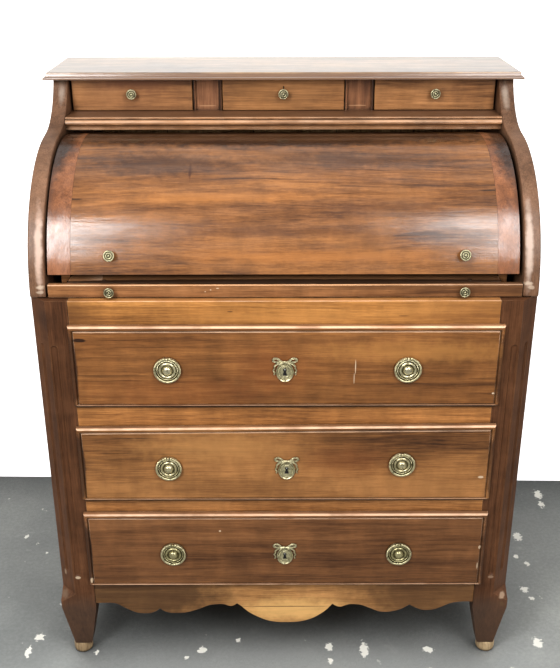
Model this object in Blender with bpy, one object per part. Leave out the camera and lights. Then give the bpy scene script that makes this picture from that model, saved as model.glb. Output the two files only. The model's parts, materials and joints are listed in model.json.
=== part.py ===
"""Roll top desk: a cylinder lid over a writing slide, three long drawers below and three small ones above.

Metres, +Z up, the front faces -Y, the floor is z = 0. Positive x is the viewer's right.
"""

import math

import bmesh
import bpy
from mathutils import Matrix, Vector

# ---- driving dimensions -------------------------------------------------------------------------
CASE_W = 0.940  # over the posts
CASE_D = 0.570
CASE_TOP = 0.833
POST = 0.0725  # square section of a front post
CHAMFER = 0.032  # canted corner of a front post
REAR_POST = 0.060
FOOT_END = 0.036  # square section where the foot meets its pad
FOOT_X, FOOT_Y = 0.436, -0.247  # middle of a front foot
PAD_X = 0.4405  # the front pads have worn a little to the outside
PAD_H = 0.0257
GAP = 0.0003  # between pieces that touch

GABLE_IN = 0.4380  # inner face of a side gable
GABLE_T = 0.030
GABLE_TOP = 1.1727
PIVOT = Vector((-0.007, 0.824))  # y, z of the lid's axis
GABLE_R = 0.262
GABLE_HOLLOW = Vector((-0.0496, 1.2292))  # centre of the gable's upper, hollow curve
LID_R = 0.252
LID_T = 0.018
LID_FROM = 11.3  # degrees above the horizontal, at the front edge
LID_TO = 106.0
LID_END = {"left": 0.4345, "right": 0.4315}  # outer face of each end of the lid
CLEAT_IN = 0.392
CHEEK_T = 0.012
PIN_R = 0.006

SHELF_BOTTOM = 1.0805
SHELF_TOP = 1.105
TOP_BOTTOM = 1.173
TOP_H = 1.187
TOP_HALF = 0.4847

FRONT = -CASE_D / 2
BACK = CASE_D / 2
SHIFT = 0.009  # moves the finished desk back, so the origin is under the middle of its box
LIP = 0.010  # how far a long drawer's lip covers the frame round it
# Each long drawer's lip, from the top drawer down: its left and right end, the top edge at the left
# and at the right, and the bottom edge. The second drawer is a little out of true.
LONG_DRAWERS = (
    (-0.3995, 0.4072, 0.787, 0.787, 0.622),
    (-0.4015, 0.4073, 0.5735, 0.5790, 0.412),
    (-0.4033, 0.4083, 0.378, 0.378, 0.204),
)
# Where the left pull, the right pull and the key plate of each long drawer sit, as (x, z).
FITTINGS = (
    ((-0.2188, 0.6990), (0.2309, 0.6990), (0.0010, 0.6940)),
    ((-0.2261, 0.4857), (0.2295, 0.4936), (0.0045, 0.4800)),
    ((-0.2265, 0.2825), (0.2330, 0.2825), (0.0010, 0.2770)),
)
SMALL_FRONT = 0.095
SMALL_DRAWERS = (("left", -0.4345, -0.1875), ("centre", -0.125, 0.125), ("right", 0.1875, 0.4345))

# ---- materials ----------------------------------------------------------------------------------
COLOURS = {
    "walnut": (0.27, 0.115, 0.045, 0.35, 0.0),
    "dark_walnut": (0.095, 0.042, 0.022, 0.4, 0.0),
    "inner_wood": (0.42, 0.27, 0.14, 0.6, 0.0),
    "brass": (0.55, 0.43, 0.2, 0.35, 1.0),
    "pad": (0.5, 0.42, 0.3, 0.6, 0.0),
}
MATERIALS = {}

for old in list(bpy.data.objects):
    bpy.data.objects.remove(old)

for label, (red, green, blue, rough, metal) in COLOURS.items():
    material = bpy.data.materials.new(label)
    material.use_nodes = True
    shader = material.node_tree.nodes["Principled BSDF"]
    shader.inputs["Base Color"].default_value = (red, green, blue, 1)
    shader.inputs["Roughness"].default_value = rough
    shader.inputs["Metallic"].default_value = metal
    MATERIALS[label] = material


# ---- making pieces ------------------------------------------------------------------------------
def piece(name, mesh_data, material, location=(0, 0, 0)):
    """An object from a bmesh, with its normals facing out."""
    bmesh.ops.recalc_face_normals(mesh_data, faces=mesh_data.faces)
    mesh = bpy.data.meshes.new(name)
    mesh_data.to_mesh(mesh)
    mesh_data.free()
    obj = bpy.data.objects.new(name, mesh)
    obj.location = location
    bpy.context.scene.collection.objects.link(obj)
    if material:
        obj.data.materials.append(MATERIALS[material])
    return obj


def loft(rings, caps=True):
    """A bmesh through rings of the same number of points, closed at both ends."""
    made = bmesh.new()
    verts = [[made.verts.new(p) for p in ring] for ring in rings]
    for low, high in zip(verts, verts[1:]):
        for i in range(len(low)):
            j = (i + 1) % len(low)
            made.faces.new((low[i], low[j], high[j], high[i]))
    if caps:
        made.faces.new(list(reversed(verts[0])))
        made.faces.new(verts[-1])
    return made


def box(x0, x1, y0, y1, z0, z1):
    ring = ((x0, y0), (x1, y0), (x1, y1), (x0, y1))
    return loft([[(x, y, z) for x, y in ring] for z in (z0, z1)])


def along_x(outline, x0, x1):
    """An outline of (y, z) points drawn out along x."""
    return loft([[(x, y, z) for y, z in outline] for x in (x0, x1)])


def along_y(outline, y0, y1):
    """An outline of (x, z) points drawn out along y."""
    return loft([[(x, y, z) for x, z in outline] for y in (y0, y1)])


def along_z(outline, z0, z1):
    """An outline of (x, y) points drawn out along z."""
    return loft([[(x, y, z) for x, y in outline] for z in (z0, z1)])


def turned(profile, steps):
    """A turned solid about the Y axis. The profile runs from base to tip as (radius, forward)."""
    made = bmesh.new()
    rows = []
    for radius, forward in profile:
        if radius == 0:
            rows.append([made.verts.new((0, -forward, 0))])
            continue
        angles = [2 * math.pi * k / steps for k in range(steps)]
        rows.append([made.verts.new((radius * math.cos(a), -forward, radius * math.sin(a))) for a in angles])
    for low, high in zip(rows, rows[1:]):
        for i in range(steps):
            j = (i + 1) % steps
            ring = [low[i % len(low)], low[j % len(low)], high[j % len(high)], high[i % len(high)]]
            made.faces.new(list(dict.fromkeys(ring)))
    for end in (rows[0], rows[-1]):
        if len(end) > 1:
            made.faces.new(end)
    return made


def joined(obj, other, operation="UNION"):
    """A Boolean of obj with a helper, which is then hidden."""
    modifier = obj.modifiers.new(other.name, "BOOLEAN")
    modifier.operation = operation
    modifier.solver = "EXACT"
    modifier.object = other
    other.hide_render = True
    other.display_type = "WIRE"
    return obj


def cut(obj, other):
    return joined(obj, other, "DIFFERENCE")


def eased(obj, width=0.0012, angle=40):
    """Softened arrises."""
    modifier = obj.modifiers.new("Arrises", "BEVEL")
    modifier.width = width
    modifier.segments = 1
    modifier.limit_method = "ANGLE"
    modifier.angle_limit = math.radians(angle)
    return obj


def smooth(obj, angle=35):
    for polygon in obj.data.polygons:
        polygon.use_smooth = True
    obj.data.set_sharp_from_angle(angle=math.radians(angle))
    return obj


def on_circle(centre, radius, degrees):
    """A (y, z) point at this angle above the horizontal, measured from the front (-Y)."""
    a = math.radians(degrees)
    return (centre[0] - radius * math.cos(a), centre[1] + radius * math.sin(a))


def ellipse(x, z, half_x, half_z, steps):
    angles = [2 * math.pi * k / steps for k in range(steps)]
    return [(x + half_x * math.cos(a), z + half_z * math.sin(a)) for a in angles]


def mirrored(outline, side):
    """An (x, y) or (x, z) outline drawn for the right, on the given side."""
    return [(side * x, other) for x, other in outline]


SIDES = (("left", -1), ("right", 1))


# ---- legs ---------------------------------------------------------------------------------------
def front_post(label, side):
    outer, inner = CASE_W / 2, CASE_W / 2 - POST

    def ring(z, chamfer, x0=inner, x1=outer, y0=FRONT, y1=FRONT + POST):
        points = ((x0, y1), (x1, y1), (x1, y0 + chamfer), (x1 - chamfer, y0), (x0, y0))
        return [(side * x, y, z) for x, y in points]

    half = FOOT_END / 2
    rings = [
        ring(PAD_H + GAP, 0.001, FOOT_X - half, FOOT_X + half, FOOT_Y - half, FOOT_Y + half),
        ring(0.136, 0.002),
        ring(0.155, 0.002),
        ring(0.163, 0.020),
        ring(0.173, CHAMFER),
        ring(CASE_TOP, CHAMFER),
    ]
    post = piece(f"post_front_{label}", loft(rings), "dark_walnut")
    for where, x, y in (
        ("front", outer - 0.0412, FRONT - 0.0045),
        ("canted", outer - CHAMFER / 2 + 0.0021, FRONT + CHAMFER / 2 - 0.0021),
    ):
        stops = []
        radius = 0.0080 if where == "front" else 0.0065
        for z, turn in ((0.2255, -1), (0.7380, 1)):
            for lift in (80, 45, 0) if turn < 0 else (0, 45, 80):
                r = radius * math.cos(math.radians(lift))
                height = z + turn * radius * math.sin(math.radians(lift))
                angles = [2 * math.pi * k / 12 for k in range(12)]
                stops.append([(side * x + r * math.cos(a), y + r * math.sin(a), height) for a in angles])
        cutter = piece(f"cut_flute_{where}_{label}", loft(stops), None)
        cut(post, cutter)
    return post


def rear_post(label, side):
    outer, inner = CASE_W / 2, CASE_W / 2 - REAR_POST
    mid_x, mid_y = (outer + inner) / 2, BACK - REAR_POST / 2

    def ring(z, half):
        points = ((-half, -half), (half, -half), (half, half), (-half, half))
        return [(side * mid_x + x, mid_y + y, z) for x, y in points]

    rings = [ring(PAD_H + GAP, FOOT_END / 2), ring(0.157, REAR_POST / 2), ring(CASE_TOP, REAR_POST / 2)]
    return eased(piece(f"post_rear_{label}", loft(rings), "dark_walnut"), 0.0015)


def foot_pad(label, x, y):
    profile = ((0.0165, 0), (0.0192, 0.003), (0.0200, 0.011), (0.0198, 0.020), (0.0180, PAD_H))
    pad = piece(f"foot_pad_{label}", turned(profile, 16), "pad", (x, y, 0))
    pad.rotation_euler = (math.radians(-90), 0, 0)
    return smooth(pad, 50)


for name, sign in SIDES:
    front_post(name, sign)
    rear_post(name, sign)
    foot_pad(f"front_{name}", sign * PAD_X, FOOT_Y)
    foot_pad(f"rear_{name}", sign * (CASE_W - REAR_POST) / 2, BACK - REAR_POST / 2)

# ---- lower case ---------------------------------------------------------------------------------
POST_IN = CASE_W / 2 - POST - GAP  # half width between the front posts
REAR_IN = CASE_W / 2 - REAR_POST - GAP
POST_BACK = FRONT + POST + GAP
REAR_FRONT = BACK - REAR_POST - GAP
PANEL_OUT, PANEL_IN = 0.462, 0.444
PANEL_TOP = 0.790
RAIL_BACK = FRONT + 0.023
OPEN_TOP = [min(drawer[2:4]) - LIP for drawer in LONG_DRAWERS]
OPEN_BOTTOM = [drawer[4] + LIP for drawer in LONG_DRAWERS]

for name, sign in SIDES:
    xs = sorted((sign * PANEL_IN, sign * PANEL_OUT))
    eased(piece(f"side_panel_{name}", box(*xs, POST_BACK, REAR_FRONT, 0.190, PANEL_TOP), "walnut"))

eased(
    piece("frieze_rail", box(-POST_IN, POST_IN, FRONT, RAIL_BACK, OPEN_TOP[0], CASE_TOP), "walnut"),
    0.0010,
)

INNER = PANEL_IN - GAP
GUIDE_IN = 0.3930


def floor_with_rail(name, rail_bottom, top, material):
    """A front rail with the dust board behind it, and the two strips that guide the drawer above."""
    board = [
        (-POST_IN, RAIL_BACK - 0.004),
        (POST_IN, RAIL_BACK - 0.004),
        (POST_IN, POST_BACK),
        (INNER, POST_BACK),
        (INNER, REAR_FRONT),
        (REAR_IN, REAR_FRONT),
        (REAR_IN, 0.270),
        (-REAR_IN, 0.270),
        (-REAR_IN, REAR_FRONT),
        (-INNER, REAR_FRONT),
        (-INNER, POST_BACK),
        (-POST_IN, POST_BACK),
    ]
    floor = piece(name, along_z(board, top - 0.012, top), material)
    if rail_bottom is not None:
        rail = piece(f"add_{name}", box(-POST_IN, POST_IN, FRONT, RAIL_BACK, rail_bottom, top), material)
        joined(floor, rail)
    for label, side in SIDES:
        xs = sorted((side * GUIDE_IN, side * 0.412))
        guide = box(*xs, POST_BACK + 0.004, 0.224, top - 0.004, top + 0.022)
        joined(floor, piece(f"add_{name}_{label}", guide, material))
    return floor


floor_with_rail("drawer_rail_upper", OPEN_TOP[1], OPEN_BOTTOM[0], "walnut")
floor_with_rail("drawer_rail_lower", OPEN_TOP[2], OPEN_BOTTOM[1], "walnut")
floor_with_rail("case_bottom", None, OPEN_BOTTOM[2], "inner_wood")


def apron():
    """The scalloped front apron. Its lower edge is drawn from the left to the right."""
    top = OPEN_BOTTOM[2] - 0.012 - GAP
    edge = (
        (-POST_IN, 0.1480),
        (-0.3580, 0.1476),
        (-0.3367, 0.1357),
        (-0.3156, 0.1240),
        (-0.2990, 0.1208),
        (-0.2838, 0.1214),
        (-0.2712, 0.1266),
        (-0.2627, 0.1335),
        (-0.2540, 0.1266),
        (-0.2430, 0.1222),
        (-0.2309, 0.1212),
        (-0.2130, 0.1222),
        (-0.1992, 0.1253),
        (-0.1780, 0.1332),
        (-0.1569, 0.1423),
        (-0.1315, 0.1449),
        (-0.1160, 0.1402),
        (-0.1075, 0.1412),
        (-0.0998, 0.1465),
        (-0.0913, 0.1397),
        (-0.0723, 0.1214),
        (-0.0405, 0.1035),
        (-0.0150, 0.0975),
        (0.0100, 0.0968),
        (0.0280, 0.0978),
        (0.0460, 0.1020),
        (0.0653, 0.1108),
        (0.0864, 0.1270),
        (0.1012, 0.1449),
        (0.1095, 0.1395),
        (0.1181, 0.1372),
        (0.1270, 0.1402),
        (0.1393, 0.1440),
        (0.1605, 0.1423),
        (0.1816, 0.1332),
        (0.1985, 0.1253),
        (0.2120, 0.1236),
        (0.2250, 0.1245),
        (0.2451, 0.1305),
        (0.2641, 0.1425),
        (0.2768, 0.1344),
        (0.2900, 0.1290),
        (0.3022, 0.1279),
        (0.3160, 0.1300),
        (0.3297, 0.1357),
        (0.3509, 0.1462),
        (0.3720, 0.1498),
        (POST_IN, 0.1502),
    )
    outline = list(edge) + [(POST_IN, top), (-POST_IN, top)]
    return eased(piece("apron", along_y(outline, FRONT + 0.001, RAIL_BACK - 0.004), "walnut"), 0.0010, 60)


apron()

DECK_HALF = 0.4185
DECK = [
    (-POST_IN, RAIL_BACK + GAP),
    (POST_IN, RAIL_BACK + GAP),
    (POST_IN, POST_BACK),
    (DECK_HALF, POST_BACK),
    (DECK_HALF, REAR_FRONT),
    (REAR_IN, REAR_FRONT),
    (REAR_IN, 0.270),
    (-REAR_IN, 0.270),
    (-REAR_IN, REAR_FRONT),
    (-DECK_HALF, REAR_FRONT),
    (-DECK_HALF, POST_BACK),
    (-POST_IN, POST_BACK),
]
piece("deck_board", along_z(DECK, 0.8147, CASE_TOP - GAP), "inner_wood")

GABLE_FOOT = CASE_TOP + GAP
BACK_HALF = GABLE_IN - GAP
BACKBOARD = [
    (-REAR_IN, 0.190),
    (REAR_IN, 0.190),
    (REAR_IN, GABLE_FOOT),
    (BACK_HALF, GABLE_FOOT),
    (BACK_HALF, GABLE_TOP),
    (-BACK_HALF, GABLE_TOP),
    (-BACK_HALF, GABLE_FOOT),
    (-REAR_IN, GABLE_FOOT),
]
piece("back_panel", along_y(BACKBOARD, 0.273, BACK), "inner_wood")


# ---- upper case ---------------------------------------------------------------------------------
def gable_front():
    """The gable's S-shaped front edge, from its foot up: one arc round the lid, then a hollow one."""
    between = GABLE_HOLLOW - PIVOT
    hollow_r = between.length - GABLE_R
    start = math.degrees(math.asin((GABLE_FOOT - PIVOT[1]) / GABLE_R))
    meet = math.degrees(math.atan2(between[1], -between[0]))
    points = [on_circle(PIVOT, GABLE_R, start + (meet - start) * k / 20) for k in range(21)]
    # The hollow arc starts straight below its centre's line to the pivot and ends at the gable's top.
    first = math.atan2(-between[1], -between[0])
    last = math.asin((GABLE_TOP - GABLE_HOLLOW[1]) / hollow_r)
    for k in range(1, 11):
        a = first + (last - first) * k / 10
        points.append((GABLE_HOLLOW[0] + hollow_r * math.cos(a), GABLE_HOLLOW[1] + hollow_r * math.sin(a)))
    return points


def gable(label, side):
    outline = gable_front() + [
        (BACK, GABLE_TOP),
        (BACK, GABLE_FOOT),
        (REAR_FRONT, GABLE_FOOT),
        (REAR_FRONT, PANEL_TOP + GAP),
        (POST_BACK, PANEL_TOP + GAP),
        (POST_BACK, GABLE_FOOT),
    ]
    xs = sorted((side * GABLE_IN, side * (GABLE_IN + GABLE_T)))
    made = piece(f"gable_{label}", along_x(outline, *xs), "dark_walnut")
    bore_r = PIN_R + 0.0002
    bore = piece(f"cut_gable_{label}", turned(((bore_r, -0.0095), (bore_r, 0.0095)), 16), None)
    bore.location = (side * GABLE_IN, PIVOT[0], PIVOT[1])
    bore.rotation_euler = (0, 0, math.radians(90))
    cut(made, bore)
    return made


def top_board():
    """The overhanging top, moulded on its front and ends."""

    def ring(z, inset):
        x, y = TOP_HALF - inset, 0.061 + inset
        return [(-x, y, z), (x, y, z), (x, 0.287, z), (-x, 0.287, z)]

    rings = [
        ring(TOP_BOTTOM, 0.0006),
        ring(TOP_BOTTOM + 0.0006, 0),
        ring(TOP_BOTTOM + 0.0026, 0),
        ring(TOP_BOTTOM + 0.0040, 0.0012),
        ring(TOP_BOTTOM + 0.0060, 0.0040),
        ring(TOP_BOTTOM + 0.0078, 0.0075),
        ring(TOP_BOTTOM + 0.0090, 0.0090),
        ring(TOP_BOTTOM + 0.0105, 0.0098),
        ring(TOP_BOTTOM + 0.0125, 0.0118),
        ring(TOP_H, 0.0150),
    ]
    return piece("top_board", loft(rings), "walnut")


def gradin_shelf():
    """The shelf under the small drawers, with a cornice worked on its front edge."""
    profile = (
        (0.2727, SHELF_BOTTOM),
        (0.2727, SHELF_TOP),
        (0.0262, SHELF_TOP),
        (0.0254, SHELF_TOP - 0.0008),
        (0.0254, SHELF_TOP - 0.0030),
        (0.0272, SHELF_TOP - 0.0036),
        (0.0272, SHELF_TOP - 0.0044),
        (0.0222, SHELF_TOP - 0.0058),
        (0.0196, SHELF_TOP - 0.0082),
        (0.0192, SHELF_TOP - 0.0110),
        (0.0208, SHELF_TOP - 0.0140),
        (0.0262, SHELF_TOP - 0.0158),
        (0.0280, SHELF_TOP - 0.0190),
        (0.0285, SHELF_TOP - 0.0220),
        (0.0270, SHELF_TOP - 0.0240),
        (0.0270, SHELF_BOTTOM),
    )
    half = GABLE_IN - GAP
    return piece("gradin_shelf", along_x(profile, -half, half), "walnut")


def divider(label, side):
    """The block between two small drawers: a recessed panel between two vertical beads."""
    x0, x1 = 0.1265, 0.1860
    outline = [(x0, 0.262), (x0, 0.0995)]
    for low in (x0, x1 - 0.0056):
        for a in (170, 130, 90, 50, 10):
            r = math.radians(a)
            outline.append((low + 0.0028 * (1 + math.cos(r)), 0.0995 - 0.0028 * math.sin(r)))
        if low == x0:
            outline += [(x0 + 0.0062, 0.1035), (x1 - 0.0062, 0.1035)]
    outline += [(x1, 0.0995), (x1, 0.262)]
    block = along_z(mirrored(outline, side), SHELF_TOP + GAP, GABLE_TOP)
    return piece(f"gradin_divider_{label}", block, "walnut")


for name, sign in SIDES:
    gable(name, sign)
    divider(name, sign)
top_board()
gradin_shelf()


# ---- turned knobs -------------------------------------------------------------------------------
def knob(name, location, tilt=0.0, scale=0.90):
    """A small turned brass knob whose face is ringed like a target. Its base is at the location."""
    profile = (
        (0.0058, 0.0),
        (0.0034, 0.0032),
        (0.0036, 0.0075),
        (0.0116, 0.0125),
        (0.0108, 0.0152),
        (0.0068, 0.0150),
        (0, 0.0164),
    )
    made = piece(name, turned([(r * scale, f * scale) for r, f in profile], 14), "brass", location)
    made.rotation_euler = (math.radians(-tilt), 0, 0)
    return smooth(made, 40)


# ---- small drawers ------------------------------------------------------------------------------
def open_box(x0, x1, y0, y1, z0, z1, wall, floor):
    """A drawer box, open at the top, as an outer shell with an inner one."""
    outer = ((x0, y0), (x1, y0), (x1, y1), (x0, y1))
    left, right, front, back = x0 + wall, x1 - wall, y0 + wall, y1 - wall
    inner = ((left, front), (right, front), (right, back), (left, back))
    levels = ((outer, z0), (outer, z1), (inner, z1), (inner, z0 + floor))
    return loft([[(x, y, z) for x, y in ring] for ring, z in levels])


for name, left, right in SMALL_DRAWERS:
    low, high = SHELF_TOP + 0.0006, 1.1705
    shell = open_box(left + 0.001, right - 0.001, 0.101, 0.262, low, high - 0.004, 0.007, 0.005)
    drawer = piece(f"small_drawer_{name}", shell, "walnut")
    front = piece(f"add_small_{name}", box(left, right, SMALL_FRONT, 0.1075, low, high), "walnut")
    joined(drawer, eased(front, 0.0014))
    knob(f"knob_small_{name}", ((left + right) / 2, SMALL_FRONT - GAP, 1.1405))


# ---- long drawers -------------------------------------------------------------------------------
def drawer_front(number, left, right, top_left, top_right, bottom):
    """A lipped front: a rounded nose all round, a groove, and a raised field."""

    def ring(y, inset, drop):
        x0, x1, low = left + 0.8 * inset, right - 0.8 * inset, bottom + drop
        return [(x0, y, low), (x1, y, low), (x1, y, top_right - inset), (x0, y, top_left - inset)]

    def inner_ring(y):
        x = POST_IN - 0.0010
        low, high = OPEN_BOTTOM[number - 1] + 0.0012, OPEN_TOP[number - 1] - 0.0012
        return [(-x, y, low), (x, y, low), (x, y, high), (-x, y, high)]

    lip = FRONT - GAP
    rings = [
        inner_ring(FRONT + 0.018),
        inner_ring(lip),
        ring(lip, 0, 0),
        ring(lip - 0.0060, 0, 0),
        ring(lip - 0.0095, 0.0012, 0.0006),
        ring(lip - 0.0118, 0.0038, 0.0012),
        ring(lip - 0.0120, 0.0062, 0.0020),
        ring(lip - 0.0104, 0.0086, 0.0030),
        ring(lip - 0.0070, 0.0096, 0.0036),
        ring(lip - 0.0066, 0.0125, 0.0044),
        ring(lip - 0.0086, 0.0132, 0.0048),
        ring(lip - 0.0092, 0.0160, 0.0060),
    ]
    return piece(f"drawer_front_{number}", loft(rings), "walnut")


RING_R = 0.0236  # of the ring's centre line
RING_Y = 0.0047  # of the ring's pivot, in front of the backplate's back
RING_WIRE = 0.0024
RING_PIN = 0.00132
RING_EYE = 0.00145


def rosette(name, location):
    """The round backplate of a ring pull, with a pierced lug at twelve o'clock."""
    profile = (
        (0.0250, 0.0),
        (0.0250, 0.0016),
        (0.0192, 0.0022),
        (0.0176, 0.0048),
        (0.0156, 0.0030),
        (0.0130, 0.0060),
        (0.0104, 0.0034),
        (0.0070, 0.0080),
        (0, 0.0102),
    )
    plate = piece(name, turned(profile, 20), "brass", location)
    block = box(-0.0026, 0.0026, -0.0072, -0.0004, RING_R - 0.0027, RING_R + 0.0027)
    lug = piece(f"add_{name}", block, None, location)
    joined(plate, lug)
    eye = piece(f"cut_{name}", turned(((RING_EYE, -0.01), (RING_EYE, 0.01)), 10), None)
    eye.location = Vector(location) + Vector((0, -RING_Y, RING_R))
    eye.rotation_euler = (0, 0, math.radians(90))
    cut(plate, eye)
    return smooth(plate, 40)


def ring_pull(name, location):
    """The ring, its two ends turned in as pins. Its origin is on the axis through the lug."""
    curve = bpy.data.curves.new(name, "CURVE")
    curve.dimensions = "3D"
    curve.bevel_depth = RING_WIRE
    curve.bevel_resolution = 1
    curve.use_fill_caps = True
    pin = RING_PIN / RING_WIRE
    turned_in = [(-0.0012, 0.0, pin), (-0.0030, 0.0, pin), (-0.0037, 0.0, 0.8)]
    path = list(turned_in)
    for k in range(21):
        a = math.radians(100 + 340 * k / 20)
        path.append((RING_R * math.cos(a), RING_R * math.sin(a) - RING_R, 1.0))
    path += [(-x, z, thickness) for x, z, thickness in reversed(turned_in)]
    spline = curve.splines.new("POLY")
    spline.points.add(len(path) - 1)
    for point, (x, z, thickness) in zip(spline.points, path):
        point.co = (x, 0, z, 1)
        point.radius = thickness
    wire = bpy.data.objects.new(name, curve)
    wire.location = location
    bpy.context.scene.collection.objects.link(wire)
    curve.materials.append(MATERIALS["brass"])
    return wire


def escutcheon(name, location):
    """An oval key plate under a ribbon bow."""
    oval = ellipse(0, 0, 0.0200, 0.0222, 28)
    levels = ((1.0, 0), (1.0, -0.0020), (0.86, -0.0038))
    rings = [[(k * x, y, k * z) for x, z in oval] for k, y in levels]
    plate = piece(name, loft(rings), "brass", location)
    for label, side in SIDES:
        loop = mirrored(ellipse(0.0125, 0.0245, 0.0095, 0.0065, 14), side)
        joined(plate, piece(f"add_{name}_{label}", along_y(loop, -0.0030, -0.0001), None, location))
    hole = [(0.0030, -0.0074)]
    for a in (-52, 0, 45, 90, 135, 180, 232):
        r = math.radians(a)
        hole.append((0.0034 * math.cos(r), 0.0052 + 0.0034 * math.sin(r)))
    hole.append((-0.0030, -0.0074))
    keyhole = piece(f"cut_{name}", along_y(hole, -0.01, 0.01), None, location)
    cut(plate, keyhole)
    return plate


for number, shape in enumerate(LONG_DRAWERS, 1):
    field = FRONT - GAP - 0.0092 - GAP
    drawer_front(number, *shape)
    floor_z, rim = OPEN_BOTTOM[number - 1] + 0.0006, OPEN_TOP[number - 1] - 0.008
    shell = open_box(-0.3915, 0.3915, FRONT + 0.0183, 0.222, floor_z, rim, 0.012, 0.008)
    piece(f"drawer_box_{number}", shell, "inner_wood")
    *pulls, (x, z) = FITTINGS[number - 1]
    escutcheon(f"escutcheon_{number}", (x, field, z))
    for (label, _), (x, z) in zip(SIDES, pulls):
        rosette(f"rosette_{number}_{label}", (x, field, z))
        ring_pull(f"ring_{number}_{label}", (x, field - RING_Y, z + RING_R))


# ---- lid ----------------------------------------------------------------------------------------
def sector(inner, outer, start, end, steps):
    """An outline of (y, z) points round part of a ring about the lid's axis."""
    angles = [start + (end - start) * k / steps for k in range(steps + 1)]
    outside = [on_circle(PIVOT, outer, a) for a in angles]
    inside = [on_circle(PIVOT, inner, a) for a in reversed(angles)]
    return outside + inside


LID_IN = LID_R - LID_T
LID_SECTION = sector(LID_IN, LID_R, LID_FROM, LID_TO, 24)
smooth(piece("lid_panel", along_x(LID_SECTION, GAP - CLEAT_IN, CLEAT_IN - GAP), "walnut"))


def lid_end(label, side):
    """An end of the lid: the curved cleat, and the cheek that carries it down to the pivot."""
    end = LID_END[label]
    xs = sorted((side * CLEAT_IN, side * end))
    cleat = piece(f"lid_end_{label}", along_x(LID_SECTION, *xs), "walnut")
    angles = [LID_FROM + (LID_TO - LID_FROM) * k / 12 for k in range(13)]
    outline = [on_circle(PIVOT, LID_IN + 0.003, a) for a in angles]
    outline += [on_circle(PIVOT, 0.017, a) for a in (190, 226, 262, 298, 334)]
    xs = sorted((side * (end - CHEEK_T), side * (end - 0.0002)))
    cheek = piece(f"add_cheek_{label}", along_x(outline, *xs), None)
    joined(cleat, cheek)
    reach = (GABLE_IN + 0.0085 - end + 0.0020) / 2
    pin = piece(f"add_pin_{label}", turned(((PIN_R, -reach), (PIN_R, reach)), 16), None)
    pin.location = (side * (GABLE_IN + 0.0085 - reach), PIVOT[0], PIVOT[1])
    pin.rotation_euler = (0, 0, math.radians(90))
    joined(cleat, pin)
    return cleat


KNOB_AT = 18.8
KNOBS = {"left": -0.3195, "right": 0.3300}  # the lid's and the slide's knobs sit a little to the right
for name, sign in SIDES:
    lid_end(name, sign)
    y, z = on_circle(PIVOT, LID_R + GAP, KNOB_AT)
    knob(f"knob_lid_{name}", (KNOBS[name], y, z), KNOB_AT)

# The lid turns about this empty.
LID_AXIS = bpy.data.objects.new("lid_axis", None)
LID_AXIS.location = (0, PIVOT[0], PIVOT[1])
bpy.context.scene.collection.objects.link(LID_AXIS)
for obj in bpy.data.objects:
    if obj.name.startswith(("lid_panel", "lid_end", "knob_lid", "add_cheek", "add_pin")):
        obj.parent = LID_AXIS
        obj.matrix_parent_inverse = Matrix.Translation(-LID_AXIS.location)

# ---- writing slide and fitted interior ----------------------------------------------------------
SLIDE_Z0, SLIDE_Z1 = CASE_TOP + GAP, 0.8583
SLIDE_HALF = 0.3995
STRIP_FRONT, STRIP_BACK = -0.2695, -0.2558
slide_section = (
    (-SLIDE_HALF, SLIDE_Z0),
    (SLIDE_HALF, SLIDE_Z0),
    (SLIDE_HALF, 0.8420),
    (SLIDE_HALF + 0.0050, 0.8420),
    (SLIDE_HALF + 0.0050, 0.8500),
    (SLIDE_HALF, 0.8500),
    (SLIDE_HALF, SLIDE_Z1),
    (-SLIDE_HALF, SLIDE_Z1),
    (-SLIDE_HALF, 0.8500),
    (-SLIDE_HALF - 0.0050, 0.8500),
    (-SLIDE_HALF - 0.0050, 0.8420),
    (-SLIDE_HALF, 0.8420),
)
slide = piece("writing_slide", along_y(slide_section, STRIP_BACK + GAP, 0.160), "walnut")
eased(
    piece("slide_front", box(-0.4340, 0.4372, STRIP_FRONT, STRIP_BACK, SLIDE_Z0 + 0.0002, 0.8586), "walnut"),
    0.0014,
)
for name, _ in SIDES:
    knob(f"knob_slide_{name}", (KNOBS[name] - 0.0005, STRIP_FRONT - GAP, 0.8475), 0, 0.84)
    # A small rest pin stands on the slide under the front edge of the lid.
    rest = ((0.0042, 0.001), (0.0042, -0.0012), (0.0017, -0.0020), (0.0015, -0.0088))
    rest_pin = piece(f"add_rest_{name}", turned(rest, 10), None)
    rest_pin.location = (KNOBS[name] - 0.0140 if name == "left" else KNOBS[name] + 0.0136, -0.2440, SLIDE_Z1)
    rest_pin.rotation_euler = (math.radians(-90), 0, 0)
    joined(slide, rest_pin)


def interior():
    """Pigeonholes at the back of the desk, on cheeks that run forward as the slide's grooved rails."""
    outer, inner = 0.4165, 0.4005
    front, back = 0.030, 0.165
    low, floor_z, top = CASE_TOP + GAP, 0.8600, 0.9550
    made = piece("pigeonholes", box(-outer, outer, front, back, floor_z, top), "walnut")
    board = 0.008
    pitch = (2 * outer - board) / 5
    for k in range(5):
        left = -outer + board + k * pitch
        hollow = box(left, left + pitch - board, front - 0.01, back - board, floor_z + board, top - board)
        cut(made, piece(f"cut_hole_{k}", hollow, None))
    for label, side in SIDES:
        profile = (
            (inner, low),
            (outer, low),
            (outer, 0.8700),
            (inner, 0.8700),
            (inner, 0.8508),
            (inner + 0.0062, 0.8508),
            (inner + 0.0062, 0.8412),
            (inner, 0.8412),
        )
        rail = piece(f"add_rail_{label}", along_y(mirrored(profile, side), -0.225, back - 0.004), None)
        joined(made, rail)
    return made


interior()

for obj in bpy.data.objects:
    if obj.parent is None:
        obj.location.y += SHIFT
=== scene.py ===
"""Roll top desk: finer pieces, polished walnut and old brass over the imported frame."""

import json
import math

import bmesh
import bpy
from mathutils import Matrix, Vector


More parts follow.
